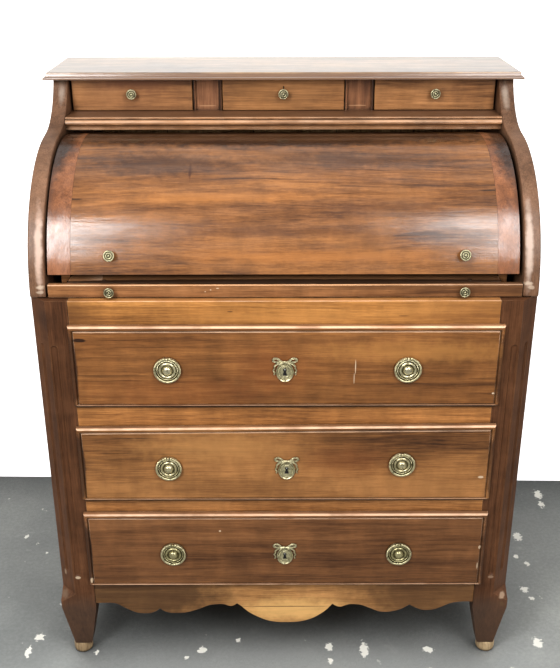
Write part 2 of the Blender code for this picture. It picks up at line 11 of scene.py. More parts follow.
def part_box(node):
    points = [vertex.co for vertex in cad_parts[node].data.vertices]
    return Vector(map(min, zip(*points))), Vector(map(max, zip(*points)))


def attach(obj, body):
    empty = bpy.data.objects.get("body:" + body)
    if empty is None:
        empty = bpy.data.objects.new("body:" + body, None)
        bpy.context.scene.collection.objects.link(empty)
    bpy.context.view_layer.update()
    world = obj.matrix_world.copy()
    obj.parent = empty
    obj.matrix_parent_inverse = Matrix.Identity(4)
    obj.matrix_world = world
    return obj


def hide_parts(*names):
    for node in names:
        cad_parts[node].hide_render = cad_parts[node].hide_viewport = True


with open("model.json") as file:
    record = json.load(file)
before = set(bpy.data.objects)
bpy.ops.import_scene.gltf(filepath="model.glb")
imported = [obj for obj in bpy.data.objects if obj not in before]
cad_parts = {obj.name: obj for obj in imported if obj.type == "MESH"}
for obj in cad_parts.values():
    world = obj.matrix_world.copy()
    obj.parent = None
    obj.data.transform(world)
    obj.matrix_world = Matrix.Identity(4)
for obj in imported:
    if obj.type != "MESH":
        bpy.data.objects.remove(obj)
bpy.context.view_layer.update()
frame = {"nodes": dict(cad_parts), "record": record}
NODES = frame["nodes"]
BODY_OF = {node: body for body, nodes in frame["record"]["behaviour"]["bodies"].items() for node in nodes}
SIDES = (("left", -1), ("right", 1))
MM = 0.001


# ---- camera, floor and light ----------------------------------------------------------------------
def camera():
    data = bpy.data.cameras.new("camera")
    data.lens = 52.5
    data.sensor_width = 36
    data.clip_start = 0.05
    seen = bpy.data.objects.new("camera", data)
    turn = Matrix.Rotation(math.radians(90 - 23.7), 4, "X") @ Matrix.Rotation(math.radians(-0.12), 4, "Z")
    seen.matrix_world = Matrix.Translation((-0.0080, -1.927, 1.492)) @ turn
    bpy.context.scene.collection.objects.link(seen)
    bpy.context.scene.camera = seen


def softbox(name, location, target, size, power, mirrored=True):
    data = bpy.data.lights.new(name, "AREA")
    data.shape = "RECTANGLE"
    data.size, data.size_y = size
    data.energy = power
    lamp = bpy.data.objects.new(name, data)
    lamp.visible_glossy = mirrored
    lamp.location = location
    lamp.rotation_euler = (Vector(target) - Vector(location)).to_track_quat("-Z", "Y").to_euler()
    bpy.context.scene.collection.objects.link(lamp)


# ---- material graphs -------------------------------------------------------------------------------
def tone(red, green, blue):
    """A colour given as it looks on a screen, 0 to 255, for a shader."""

    def linear(value):
        value /= 255
        return value / 12.92 if value <= 0.04045 else ((value + 0.055) / 1.055) ** 2.4

    return (linear(red), linear(green), linear(blue), 1)


class Surface:
    """A material and short ways to add nodes to it."""

    def __init__(self, name):
        self.material = bpy.data.materials.new(name)
        self.material.use_nodes = True
        self.tree = self.material.node_tree
        self.shader = self.tree.nodes["Principled BSDF"]
        self.place = self.add("ShaderNodeTexCoord").outputs["Object"]

    def put(self, socket, value):
        if isinstance(value, bpy.types.NodeSocket):
            self.tree.links.new(value, socket)
        else:
            socket.default_value = value

    def add(self, kind, inputs=(), **settings):
        node = self.tree.nodes.new(kind)
        for key, value in settings.items():
            setattr(node, key, value)
        for key, value in dict(inputs).items():
            self.put(node.inputs[key], value)
        return node

    def scaled(self, vector, scale, shift=(0, 0, 0), turn=(0, 0, 0)):
        turn = [math.radians(a) for a in turn]
        return self.add(
            "ShaderNodeMapping", {"Vector": vector, "Scale": scale, "Location": shift, "Rotation": turn}
        ).outputs[0]

    def noise(self, vector, scale=1.0, detail=3.0, rough=0.55):
        inputs = {"Vector": vector, "Scale": scale, "Detail": detail, "Roughness": rough}
        return self.add("ShaderNodeTexNoise", inputs).outputs["Fac"]

    def maths(self, operation, first, second=0.0, clamp=False):
        node = self.add("ShaderNodeMath", operation=operation, use_clamp=clamp)
        self.put(node.inputs[0], first)
        self.put(node.inputs[1], second)
        return node.outputs[0]

    def times(self, first, second):
        return self.maths("MULTIPLY", first, second)

    def plus(self, first, second):
        return self.maths("ADD", first, second)

    def spread(self, fac, amount):
        """A noise's swing about its middle, so many times as large."""
        return self.times(self.maths("SUBTRACT", fac, 0.5), amount)

    def shaded(self, colour, grey):
        """A colour times a number."""
        grey = self.add("ShaderNodeCombineColor", {0: grey, 1: grey, 2: grey}).outputs[0]
        return self.mix(1.0, colour, grey, "MULTIPLY")

    def span(self, value, low, high, to_low=0.0, to_high=1.0):
        node = self.add("ShaderNodeMapRange", interpolation_type="SMOOTHSTEP")
        for key, number in zip(
            ("Value", "From Min", "From Max", "To Min", "To Max"), (value, low, high, to_low, to_high)
        ):
            self.put(node.inputs[key], number)
        return node.outputs[0]

    def ramp(self, value, stops):
        node = self.add("ShaderNodeValToRGB", {"Fac": value})
        points = node.color_ramp.elements
        while len(points) < len(stops):
            points.new(0.5)
        for point, (place, colour) in zip(points, stops):
            point.position = place
            point.color = colour
        return node.outputs["Color"]

    def mix(self, amount, first, second, blend="MIX"):
        node = self.add("ShaderNodeMix", data_type="RGBA", blend_type=blend, clamp_factor=True)
        self.put(node.inputs[0], amount)
        self.put(node.inputs[6], first)
        self.put(node.inputs[7], second)
        return node.outputs[2]

    def spot(self, centre, radii, ragged=0.35, core=0.75, scale=60):
        """1 in the core of an ellipsoid about a point, falling to 0 at its ragged edge."""
        away = self.scaled(self.scaled(self.place, (1, 1, 1), [-c for c in centre]), [1 / r for r in radii])
        distance = self.add("ShaderNodeVectorMath", {0: away}, operation="LENGTH").outputs["Value"]
        if ragged:
            distance = self.plus(distance, self.spread(self.noise(self.place, scale), 2 * ragged))
        return self.span(distance, 1.1, core)

    def edges(self, radius):
        """How far a surface turns within this distance: 0 on a flat, up to 1 on a sharp arris."""
        bevel = self.add("ShaderNodeBevel", {"Radius": radius}, samples=4).outputs[0]
        normal = self.add("ShaderNodeNewGeometry").outputs["Normal"]
        flat = self.add("ShaderNodeVectorMath", {0: bevel, 1: normal}, operation="DOT_PRODUCT")
        return self.span(flat.outputs["Value"], 0.995, 0.82)

    def hollows(self, distance):
        """1 in tight corners and 0 on open surfaces."""
        node = self.add("ShaderNodeAmbientOcclusion", {"Distance": distance}, samples=6)
        return self.span(node.outputs["AO"], 0.85, 0.25)

    def bump(self, height, strength, distance, socket="Normal"):
        node = self.add("ShaderNodeBump", {"Height": height, "Strength": strength, "Distance": distance})
        self.put(self.shader.inputs[socket], node.outputs[0])

    def set(self, **sockets):
        """Sockets of the shader, named with _ for a space."""
        for name, value in sockets.items():
            self.put(self.shader.inputs[name.replace("_", " ")], value)


def shades(red, green, blue):
    """Four tones round a middle one, from the darkest streak to the palest fibre."""
    steps = ((0.42, 0.36, 0.33), (0.80, 0.77, 0.74), (1.04, 1.04, 1.04), (1.24, 1.28, 1.34))
    return [tone(*(min(255, c * k) for c, k in zip((red, green, blue), step))) for step in steps]


def wood(
    name,
    tones,
    along="x",
    seed=0.0,
    figure=0.55,
    bands=0.8,
    streaks=0.55,
    polish=0.12,
    gloss=0.22,
    roughness=0.40,
    edge=None,
    marks=(),
    dirt_and_shade=0.75,
    reach=0.014,
    wear_and_highlight=0.0,
    coat_ior=1.5,
    coat_rough=0.18,
    short=1.5,
    dust=0.0,
):
    """Old polished wood: broad figure, fine bands, fibres, pores, dark streaks and wear, with painted shade in
    hollows and painted highlights on edges that face up.

    tones run from the darkest streak to the palest fibre. along is the grain's direction. marks are
    (centre, radii, colour, strength, ragged), in metres from the middle of the floor under the desk, and
    may end with how much of the radius is at full strength.
    """
    s = Surface(name)
    turn = {"x": (0, 0, 0), "z": (0, 90, 0), "y": (0, 0, -90)}[along]
    place = s.scaled(s.place, (1, 1, 1), (seed * 0.37, seed * 0.11, 0))
    grain = s.scaled(place, (1, 1, 1), turn=turn) if along != "x" else place
    swell = s.spread(s.noise(s.scaled(grain, (1.5, 4.5, 4.5), (seed, 0, 0)), 1, 3, 0.5), 0.06)
    swell = s.add("ShaderNodeCombineXYZ", {1: swell, 2: swell}).outputs[0]
    bent = s.add("ShaderNodeVectorMath", {0: grain, 1: swell}, operation="ADD").outputs[0]

    broad = s.noise(s.scaled(bent, (1.5, 9, 9), (seed, seed, 0)), 1, 3, 0.5)
    band = s.noise(s.scaled(bent, (1.1 * short, 70, 70), (0, seed, 0)), 1, 4, 0.62)
    fibre = s.noise(s.scaled(grain, (8 * short, 360, 360), (0, seed, seed)), 1, 4, 0.65)
    fine = s.noise(s.scaled(grain, (34 * short, 1000, 1000), (seed, 0, seed)), 1, 3, 0.6)
    value = s.plus(s.spread(broad, 2.0 * figure), s.spread(band, 1.6 * bands))
    value = s.plus(s.plus(value, s.spread(fibre, 1.05)), s.spread(fine, 0.55))
    value = s.maths("ADD", value, 0.60, clamp=True)
    count = len(tones) - 1
    colour = s.ramp(value, [(0.02 + 0.94 * k / count, c) for k, c in enumerate(tones)])

    dark = s.noise(s.scaled(bent, (1.7 * short, 120, 120), (seed, seed * 2, 0)), 1, 3, 0.55)
    gate = s.span(s.noise(s.scaled(grain, (2.2, 9, 9), (0, 0, seed * 3)), 1, 2), 0.45, 0.62)
    colour = s.mix(s.times(s.span(dark, 0.56, 0.72, 0, streaks), gate), colour, tones[0])
    pores = s.span(s.noise(s.scaled(grain, (55, 1400, 1400), (seed, 0, 0)), 1, 2, 0.5), 0.60, 0.72)
    pores = s.times(pores, 0.36)
    colour = s.mix(pores, colour, tones[0])
    cast = s.noise(s.scaled(s.place, (5, 9, 9), (seed, seed, seed)), 1, 4, 0.6)
    colour = s.mix(s.span(cast, 0.52, 0.68, 0, 0.30), colour, tones[0])
    colour = s.mix(s.span(cast, 0.47, 0.33, 0, 0.32), colour, tones[3])
    mottle = s.noise(s.scaled(grain, (30, 16, 16), (0, seed, 0)), 1, 4, 0.6)
    colour = s.shaded(colour, s.span(mottle, 0.3, 0.72, 0.84, 1.10))

    if edge:
        broken = s.span(s.noise(s.scaled(s.place, (40, 40, 40), (seed, 0, 0)), 1, 4), 0.40, 0.62, 0.12, 1.0)
        colour = s.mix(s.times(s.times(s.edges(0.0020), broken), 0.7), colour, edge)
    if wear_and_highlight:
        # Edges that face up are painted paler: partly finish worn off by hands and dusters, partly a painted
        # highlight where they catch the light from above.
        normal = s.add("ShaderNodeNewGeometry").outputs["Normal"]
        rise = s.add("ShaderNodeSeparateXYZ", {0: normal}).outputs["Z"]
        up = s.times(s.span(rise, 0.22, 0.55), s.span(rise, 0.86, 0.99, 1.0, 0.12))
        patchy = s.noise(s.scaled(s.place, (14, 14, 14), (0, seed, 0)), 1, 4)
        patchy = s.span(patchy, 0.32, 0.62, 0.45, 1.0)
        colour = s.mix(s.times(s.times(up, patchy), wear_and_highlight), colour, edge)
    # Corners and hollows are darkened: partly dirt, partly painted shade; with a long reach, as on the rails, this
    # is the painted shade under the drawer lips.
    if dirt_and_shade:
        colour = s.mix(s.times(s.hollows(reach), dirt_and_shade), colour, tone(26, 15, 9))
    for centre, radii, mark, strength, ragged, *core in marks:
        colour = s.mix(s.times(s.spot(centre, radii, ragged, *core), strength), colour, mark)

    dull = s.noise(s.scaled(s.place, (7, 7, 7), (seed, 0, seed)), 1, 4, 0.6)
    dull = s.span(dull, 0.3, 0.7, roughness - 0.06, roughness + 0.10)
    worn_off = s.noise(s.scaled(grain, (9, 60, 60), (seed, 0, seed)), 1, 4, 0.65)
    s.set(
        Base_Color=colour,
        Roughness=s.plus(dull, s.times(pores, 0.4)),
        Coat_Weight=s.span(worn_off, 0.35, 0.62, polish, polish * 0.6),
        Coat_Roughness=coat_rough,
        Coat_IOR=coat_ior,
        Sheen_Weight=dust,
        Specular_IOR_Level=gloss,
    )
    height = s.plus(s.plus(s.times(fibre, 0.5), s.times(pores, -1.4)), s.times(broad, 2.0))
    s.bump(height, 0.22, 0.0006)
    s.bump(s.plus(band, fibre), 0.25, 0.0008, "Coat Normal")
    return s.material


def brass(name, bright, dark, seed=0.0, roughness=0.30):
    """Old lacquered brass: pale on what sticks out, dark in the hollows, slightly spotted."""
    s = Surface(name)
    cloud = s.noise(s.scaled(s.place, (160, 160, 160), (seed, 0, 0)), 1, 4, 0.6)
    colour = s.ramp(cloud, [(0.25, dark), (0.55, bright), (0.85, tone(236, 224, 170))])
    colour = s.mix(s.span(cloud, 0.2, 0.75, 0.85, 0.1), bright, colour)
    deep = s.times(s.hollows(0.0040), 0.95)
    colour = s.mix(deep, colour, tone(34, 27, 14))
    colour = s.mix(s.times(s.edges(0.0009), 0.5), colour, tone(245, 236, 190))
    rough = s.span(cloud, 0.3, 0.7, roughness - 0.06, roughness + 0.14)
    s.set(Base_Color=colour, Metallic=1.0, Roughness=s.plus(rough, s.times(deep, 0.3)))
    s.bump(s.noise(s.scaled(s.place, (900, 900, 900)), 1, 3, 0.6), 0.12, 0.0003)
    return s.material


def plain(name, colour, roughness):
    s = Surface(name)
    cloud = s.noise(s.scaled(s.place, (30, 30, 30)), 1, 5, 0.6)
    low = tuple(0.75 * c for c in colour[:3]) + (1,)
    s.set(
        Base_Color=s.ramp(cloud, [(0.3, low), (0.7, colour)]),
        Roughness=s.span(cloud, 0.3, 0.7, roughness - 0.05, roughness + 0.08),
    )
    return s.material


# ---- making pieces ----------------------------------------------------------------------------------
def new_piece(name, mesh_data, material, sharp=32):
    bmesh.ops.recalc_face_normals(mesh_data, faces=mesh_data.faces)
    mesh = bpy.data.meshes.new(name)
    mesh_data.to_mesh(mesh)
    mesh_data.free()
    obj = bpy.data.objects.new(name, mesh)
    bpy.context.scene.collection.objects.link(obj)
    obj.data.materials.append(material)
    for polygon in mesh.polygons:
        polygon.use_smooth = True
    mesh.set_sharp_from_angle(angle=math.radians(sharp))
    return obj


def stands_for(obj, *nodes):
    """The piece takes the place and body of CAD nodes."""
    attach(obj, BODY_OF[nodes[0]])
    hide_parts(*nodes)
    return obj


def loft(rings, caps=True, closed=False):
    made = bmesh.new()
    verts = [[made.verts.new(p) for p in ring] for ring in rings]
    pairs = list(zip(verts, verts[1:]))
    if closed:
        pairs.append((verts[-1], verts[0]))
    for low, high in pairs:
        for i in range(len(low)):
            j = (i + 1) % len(low)
            made.faces.new((low[i], low[j], high[j], high[i]))
    if caps and not closed:
        made.faces.new(list(reversed(verts[0])))
        made.faces.new(verts[-1])
    return made


def turned(profile, steps, wave=None):
    """A turned solid about the Y axis. The profile is (radius, forward) from base to tip."""
    made = bmesh.new()
    rows = []
    for radius, forward in profile:
        if radius == 0:
            rows.append([made.verts.new((0, -forward, 0))])
            continue
        row = []
        for k in range(steps):
            a = 2 * math.pi * k / steps
            lift = wave(radius, a) if wave else 0
            row.append(made.verts.new((radius * math.cos(a), -forward - lift, radius * math.sin(a))))
        rows.append(row)
    for low, high in zip(rows, rows[1:]):
        for i in range(steps):
            j = (i + 1) % steps
            ring = [low[i % len(low)], low[j % len(low)], high[j % len(high)], high[i % len(high)]]
            made.faces.new(list(dict.fromkeys(ring)))
    for end in (rows[0], rows[-1]):
        if len(end) > 1:
            made.faces.new(end)
    return made


def sweep(path, section, closed=False, up=Vector((0, -1, 0))):
    """A section carried along a path. section(k) gives (across, out) offsets; out is towards the viewer."""
    rings = []
    count = len(path)
    for k, point in enumerate(path):
        before = path[(k - 1) % count] if closed or k else path[k]
        after = path[(k + 1) % count] if closed or k < count - 1 else path[k]
        tangent = (Vector(after) - Vector(before)).normalized()
        across = up.cross(tangent).normalized()
        out = tangent.cross(across).normalized()
        rings.append([Vector(point) + across * a + out * b for a, b in section(k)])
    return loft(rings, closed=closed)


def ball(made, centre, radius, squash=1.0):
    """Adds a ball to a bmesh."""
    found = bmesh.ops.create_icosphere(made, subdivisions=2, radius=radius)
    for vert in found["verts"]:
        vert.co.y *= squash
        vert.co += Vector(centre)


def smooth_path(points, steps):
    """A Catmull-Rom curve through (x, z) points."""
    ends = [points[0], *points, points[-1]]
    path = []
    for k in range(1, len(ends) - 2):
        p0, p1, p2, p3 = ends[k - 1 : k + 3]
        for step in range(steps):
            t = step / steps
            path.append(tuple(
                0.5
                * (2 * b + (c - a) * t + (2 * a - 5 * b + 4 * c - d) * t * t + (3 * b - a - 3 * c + d) * t**3)
                for a, b, c, d in zip(p0, p1, p2, p3)
            ))
    path.append(points[-1])
    return path


def moved(made, offset, tilt=0.0):
    """The bmesh tilted about X and moved."""
    made.transform(Matrix.Translation(Vector(offset)) @ Matrix.Rotation(math.radians(tilt), 4, "X"))
    return made


def round_arrises(obj, width, limit):
    bevel = obj.modifiers.new("Arrises", "BEVEL")
    bevel.width = width
    bevel.segments = 2
    bevel.limit_method = "ANGLE"
    bevel.angle_limit = math.radians(limit)
    bevel.harden_normals = True
    return bevel


def refined(node, material, width, limit=32):
    """A copy of a CAD node with rounded arrises and smooth curves, which stands for it."""
    mesh_data = bmesh.new()
    mesh_data.from_mesh(NODES[node].data)
    bmesh.ops.remove_doubles(mesh_data, verts=mesh_data.verts, dist=2e-5)
    bmesh.ops.dissolve_limit(
        mesh_data, angle_limit=math.radians(0.6), verts=mesh_data.verts, edges=mesh_data.edges
    )
    obj = new_piece(f"fine_{node}", mesh_data, material, limit)
    if width:
        round_arrises(obj, width, limit).miter_outer = "MITER_ARC"
    return stands_for(obj, node)


# ---- the materials ----------------------------------------------------------------------------------
PALE_EDGE = tone(206, 150, 98)
# Pale wood on worn edges, also used as a painted highlight on edges that face up.
PALE_WEAR_AND_HIGHLIGHT = tone(246, 200, 162)
BONE = tone(222, 196, 164)
# Near black brown: painted shadow and shade, and also the dark of joints, cracks, gaps and the keyhole.
SHADOW_AND_GAP_DARK = tone(30, 17, 10)
RUST = tone(122, 62, 28)
GOLD = tone(196, 136, 72)

# How far back the faces stand that have marks on them.
LIP_Y, FIELD_Y, CASE_Y, APRON_Y, GRADIN_Y = -0.292, -0.286, -0.276, -0.275, 0.104


def marks_at(y, *rows):
    """Marks for wood() on an upright face: ((x, z), radii, colour, strength, ragged and perhaps core)."""
    return tuple(((x, y, z), *rest) for (x, z), *rest in rows)


def foot_shadow(z):
    """The shadow that a drawer throws on the rail under it."""
    return marks_at(CASE_Y, ((0.0, z), (2.0, 0.05, 0.0085), SHADOW_AND_GAP_DARK, 0.85, 0.1, 0.4))


# Painted shade: dark bands down the drawer's left and right sides and along its bottom edge, under the lip.
DRAWER_1_MARKS = marks_at(
    FIELD_Y,
    ((-0.380, 0.7590), (0.013, 0.02, 0.0040), tone(36, 18, 8), 0.95, 0.35),
    ((-0.398, 0.700), (0.012, 0.05, 0.082), tone(54, 32, 20), 0.85, 0.2, 0.75),
    ((0.406, 0.700), (0.009, 0.05, 0.082), tone(60, 36, 22), 0.70, 0.2, 0.6),
    ((0.0, 0.6215), (2.0, 0.05, 0.0040), SHADOW_AND_GAP_DARK, 0.80, 0.1, 0.6),
    ((0.133, 0.7035), (0.0011, 0.02, 0.0160), BONE, 0.7, 0.3),
    ((0.131, 0.6800), (0.0011, 0.02, 0.0120), BONE, 0.5, 0.3),
    ((0.25, 0.735), (0.26, 0.05, 0.030), GOLD, 0.40, 0.5, 0.1),
    ((-0.20, 0.650), (0.24, 0.05, 0.040), RUST, 0.30, 0.5, 0.1),
    ((-0.02, 0.700), (0.10, 0.05, 0.060), RUST, 0.35, 0.5, 0.1),
) + marks_at(
    LIP_Y,
    ((0.395, 0.648), (0.003, 0.02, 0.002), BONE, 0.9, 0.2),
)
# Painted shade: dark bands down the drawer's left and right sides and along its bottom edge, under the lip.
DRAWER_2_MARKS = marks_at(
    FIELD_Y,
    ((-0.400, 0.487), (0.012, 0.05, 0.080), tone(54, 32, 20), 0.85, 0.2, 0.75),
    ((0.406, 0.490), (0.009, 0.05, 0.082), tone(60, 36, 22), 0.70, 0.2, 0.6),
    ((0.0, 0.4115), (2.0, 0.05, 0.0040), SHADOW_AND_GAP_DARK, 0.85, 0.1, 0.6),
    ((-0.14, 0.530), (0.20, 0.05, 0.045), tone(206, 148, 86), 0.38, 0.4, 0.1),
    ((-0.10, 0.440), (0.22, 0.05, 0.030), tone(92, 56, 28), 0.40, 0.4, 0.1),
    ((0.12, 0.500), (0.12, 0.05, 0.050), RUST, 0.30, 0.4, 0.1),
    ((0.386, 0.463), (0.006, 0.02, 0.003), BONE, 0.8, 0.3),
)
# Painted shade: dark bands down the drawer's left and right sides and along its bottom edge, under the lip.
DRAWER_3_MARKS = marks_at(
    FIELD_Y,
    ((-0.402, 0.287), (0.011, 0.05, 0.078), tone(50, 30, 20), 0.80, 0.2, 0.75),
    ((0.407, 0.287), (0.009, 0.05, 0.078), tone(56, 34, 22), 0.60, 0.2, 0.6),
    ((0.0, 0.2035), (2.0, 0.05, 0.0035), SHADOW_AND_GAP_DARK, 0.60, 0.1, 0.6),
    ((-0.130, 0.3370), (0.0024, 0.02, 0.0024), BONE, 0.7, 0.4),
) + marks_at(
    LIP_Y,
    ((0.398, 0.296), (0.003, 0.02, 0.005), BONE, 0.8, 0.3),
    ((-0.398, 0.217), (0.003, 0.02, 0.007), BONE, 0.9, 0.3),
    ((0.396, 0.250), (0.002, 0.02, 0.009), BONE, 0.5, 0.4),
)
# Painted shade: the dark band along the lid's top is shade under the cornice; the patches just under it make the
# lid darker towards the top.
LID_MARKS = (
    ((-0.400, -0.20, 0.998), (0.030, 0.20, 0.0012), SHADOW_AND_GAP_DARK, 0.8, 0.5),
    ((0.392, -0.20, 1.010), (0.030, 0.20, 0.0012), SHADOW_AND_GAP_DARK, 0.8, 0.5),
    ((-0.176, -0.14, 1.036), (0.0030, 0.20, 0.014), tone(70, 30, 14), 0.7, 0.4, 0.3),
    ((-0.24, -0.10, 1.046), (0.18, 0.20, 0.022), tone(52, 28, 14), 0.75, 0.5, 0.2),
    ((0.12, -0.10, 1.052), (0.24, 0.20, 0.014), tone(56, 30, 14), 0.65, 0.5, 0.2),
    ((-0.05, -0.02, 1.080), (0.60, 0.20, 0.015), tone(40, 22, 12), 0.90, 0.3, 0.6),
    ((-0.395, -0.15, 1.000), (0.0016, 0.20, 0.110), tone(60, 34, 20), 0.6, 0.4),
    ((0.395, -0.15, 1.000), (0.0016, 0.20, 0.110), tone(60, 34, 20), 0.6, 0.4),
    ((-0.02, -0.24, 0.945), (0.24, 0.20, 0.012), tone(70, 36, 16), 0.45, 0.5, 0.2),
    ((0.16, -0.24, 0.985), (0.20, 0.20, 0.008), tone(64, 32, 14), 0.45, 0.5, 0.2),
    ((0.05, -0.24, 0.905), (0.30, 0.20, 0.016), tone(190, 120, 58), 0.35, 0.5, 0.2),
    ((-0.12, -0.20, 1.000), (0.22, 0.20, 0.012), tone(196, 126, 62), 0.35, 0.5, 0.2),
)
# Painted shade: the cleats' upper outer corners are painted dark; the cleats are also darker down their outer
# edges.
CLEAT_MARKS = (
    ((-0.440, -0.02, 1.080), (0.044, 0.18, 0.100), SHADOW_AND_GAP_DARK, 0.88, 0.3, 0.6),
    ((0.438, -0.03, 1.075), (0.040, 0.18, 0.105), SHADOW_AND_GAP_DARK, 0.85, 0.3, 0.6),
    ((-0.434, -0.15, 0.990), (0.014, 0.12, 0.080), tone(70, 42, 26), 0.60, 0.4, 0.2),
    ((0.434, -0.15, 0.990), (0.014, 0.12, 0.080), tone(70, 42, 26), 0.55, 0.4, 0.2),
)
# Painted highlights: pale spots at the foot of the flutes. Painted shade: the dark patch at the top of the left
# post, beside the frieze.
POST_MARKS = (
    ((-0.4288, -0.276, 0.2150), (0.0060, 0.006, 0.0038), BONE, 0.70, 0.3),
    ((0.4288, -0.276, 0.2150), (0.0060, 0.006, 0.0035), tone(180, 150, 124), 0.45, 0.3),
    ((-0.4600, -0.262, 0.2150), (0.0040, 0.010, 0.0100), BONE, 0.35, 0.3),
    ((-0.4620, -0.262, 0.1620), (0.0110, 0.020, 0.0090), tone(128, 108, 88), 0.5, 0.9, 0.3),
    ((-0.43, -0.25, 0.080), (0.10, 0.10, 0.10), tone(70, 60, 52), 0.50, 0.1, 0.6),
    ((0.43, -0.25, 0.080), (0.10, 0.10, 0.10), tone(70, 60, 52), 0.50, 0.1, 0.6),
    ((-0.442, -0.276, 0.795), (0.030, 0.05, 0.030), tone(52, 34, 24), 0.5, 0.3, 0.2),
    ((0.4560, -0.262, 0.1620), (0.0100, 0.020, 0.0060), tone(190, 160, 132), 0.6, 0.4),
    ((0.4600, -0.262, 0.1450), (0.0080, 0.020, 0.0100), tone(104, 78, 52), 0.5, 0.4),
)
GABLE_MARKS = (
    ((-0.4500, 0.060, 1.1480), (0.0090, 0.060, 0.0260), tone(184, 168, 152), 0.45, 0.5, 0.2),
    ((0.4500, 0.060, 1.1450), (0.0090, 0.060, 0.0340), tone(196, 178, 160), 0.50, 0.5, 0.2),
    ((-0.4480, -0.240, 0.9250), (0.0090, 0.080, 0.1000), tone(222, 190, 170), 0.65, 0.5, 0.3),
    ((0.4470, -0.240, 0.9250), (0.0085, 0.080, 0.1000), tone(222, 196, 178), 0.65, 0.5, 0.3),
    ((-0.4470, -0.262, 0.8540), (0.0110, 0.014, 0.0050), tone(206, 182, 158), 0.75, 1.0, 0.5),
    ((-0.4480, -0.262, 0.8440), (0.0080, 0.014, 0.0035), tone(196, 172, 148), 0.65, 1.0, 0.5),
    ((0.4470, -0.262, 0.8600), (0.0110, 0.014, 0.0050), tone(206, 182, 158), 0.75, 1.0, 0.5),
    ((0.4520, -0.262, 0.8520), (0.0080, 0.014, 0.0040), tone(196, 172, 148), 0.65, 1.0, 0.5),
)
# Painted shade: the frieze's left end, beside the post, is painted darker. The frieze is also darker over its
# right half.
FRIEZE_MARKS = marks_at(
    CASE_Y,
    ((-0.405, 0.800), (0.075, 0.05, 0.10), tone(84, 52, 30), 0.55, 0.3, 0.0),
    ((0.02, 0.800), (0.30, 0.05, 0.016), GOLD, 0.40, 0.5, 0.1),
    ((0.36, 0.800), (0.20, 0.05, 0.12), tone(126, 80, 44), 0.45, 0.3, 0.0),
    ((-0.10, 0.812), (0.006, 0.05, 0.0012), tone(70, 42, 24), 0.8, 0.4),
    ((0.22, 0.803), (0.010, 0.05, 0.0010), tone(80, 48, 28), 0.8, 0.4),
)
TOP_FRONT, TOP_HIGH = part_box("top_board")[0].y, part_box("top_board")[1].z
TOP_MARKS = (
    ((0, TOP_FRONT + 0.0020, TOP_HIGH - 0.0085), (2.0, 0.0075, 0.0080), tone(112, 74, 44), 0.85, 0.05, 0.8),
    ((0, TOP_FRONT + 0.0088, TOP_HIGH), (2.0, 0.0016, 0.004), tone(84, 54, 34), 0.85, 0.2, 0.6),
)
# Painted shadow: a dark band along the apron's top, under the lowest drawer.
APRON_MARKS = marks_at(
    APRON_Y,
    ((0.0, 0.2020), (2.0, 0.05, 0.0070), SHADOW_AND_GAP_DARK, 0.70, 0.1, 0.3),
    ((-0.30, 0.165), (0.23, 0.05, 0.12), tone(60, 38, 22), 0.80, 0.3, 0.35),
    ((0.31, 0.165), (0.21, 0.05, 0.12), tone(66, 40, 22), 0.70, 0.3, 0.35),
    ((0.02, 0.130), (0.16, 0.05, 0.040), tone(240, 188, 116), 0.75, 0.4, 0.2),
    ((0.0, 0.1390), (0.10, 0.02, 0.0012), tone(72, 44, 24), 0.75, 0.3),
)
# Painted highlight: a pale line along the front's top arris. Painted shadow: the dark strip behind it, where the
# lid's shadow falls on the slide.
SLIDE_MARKS = (
    ((-0.135, -0.262, 0.8490), (0.0016, 0.02, 0.0010), BONE, 0.9, 0.2),
    ((-0.122, -0.262, 0.8520), (0.0030, 0.02, 0.0010), BONE, 0.8, 0.2),
    ((-0.145, -0.262, 0.8455), (0.0012, 0.02, 0.0010), BONE, 0.8, 0.2),
    ((0.0, -0.2614, 0.8583), (0.44, 0.004, 0.0012), tone(206, 150, 100), 0.6, 0.3),
    ((0.0, -0.2430, 0.8620), (0.60, 0.0170, 0.006), SHADOW_AND_GAP_DARK, 0.95, 0.1, 0.9),
    ((0.38, -0.262, 0.849), (0.22, 0.03, 0.05), tone(84, 54, 32), 0.45, 0.3, 0.0),
)
# Painted shade: a dark band along the shelf's top, under the small drawers.
SHELF_MARKS = (
    ((0, 0.078, 1.1050), (2.0, 0.040, 0.0022), tone(72, 46, 30), 0.80, 0.05),
)
# Painted shade: dark strips down both sides of each divider, in the gaps beside the small drawers.
BLOCK_MARKS = marks_at(
    GRADIN_Y,
    ((-0.1852, 1.147), (0.0040, 0.05, 0.20), SHADOW_AND_GAP_DARK, 0.85, 0.3, 0.4),
    ((-0.1310, 1.147), (0.0040, 0.05, 0.20), SHADOW_AND_GAP_DARK, 0.85, 0.3, 0.4),
    ((0.1245, 1.147), (0.0050, 0.05, 0.20), SHADOW_AND_GAP_DARK, 0.85, 0.3, 0.4),
    ((0.1840, 1.147), (0.0050, 0.05, 0.20), SHADOW_AND_GAP_DARK, 0.85, 0.3, 0.4),
    ((0.1700, 1.147), (0.0120, 0.05, 0.06), tone(70, 42, 28), 0.55, 0.4, 0.1),
    ((-0.1420, 1.147), (0.0080, 0.05, 0.06), tone(80, 48, 32), 0.45, 0.4, 0.1),
    ((-0.1580, 1.1140), (0.020, 0.05, 0.0012), tone(196, 150, 110), 0.5, 0.5),
    ((0.1540, 1.1140), (0.020, 0.05, 0.0012), tone(196, 150, 110), 0.5, 0.5),
)
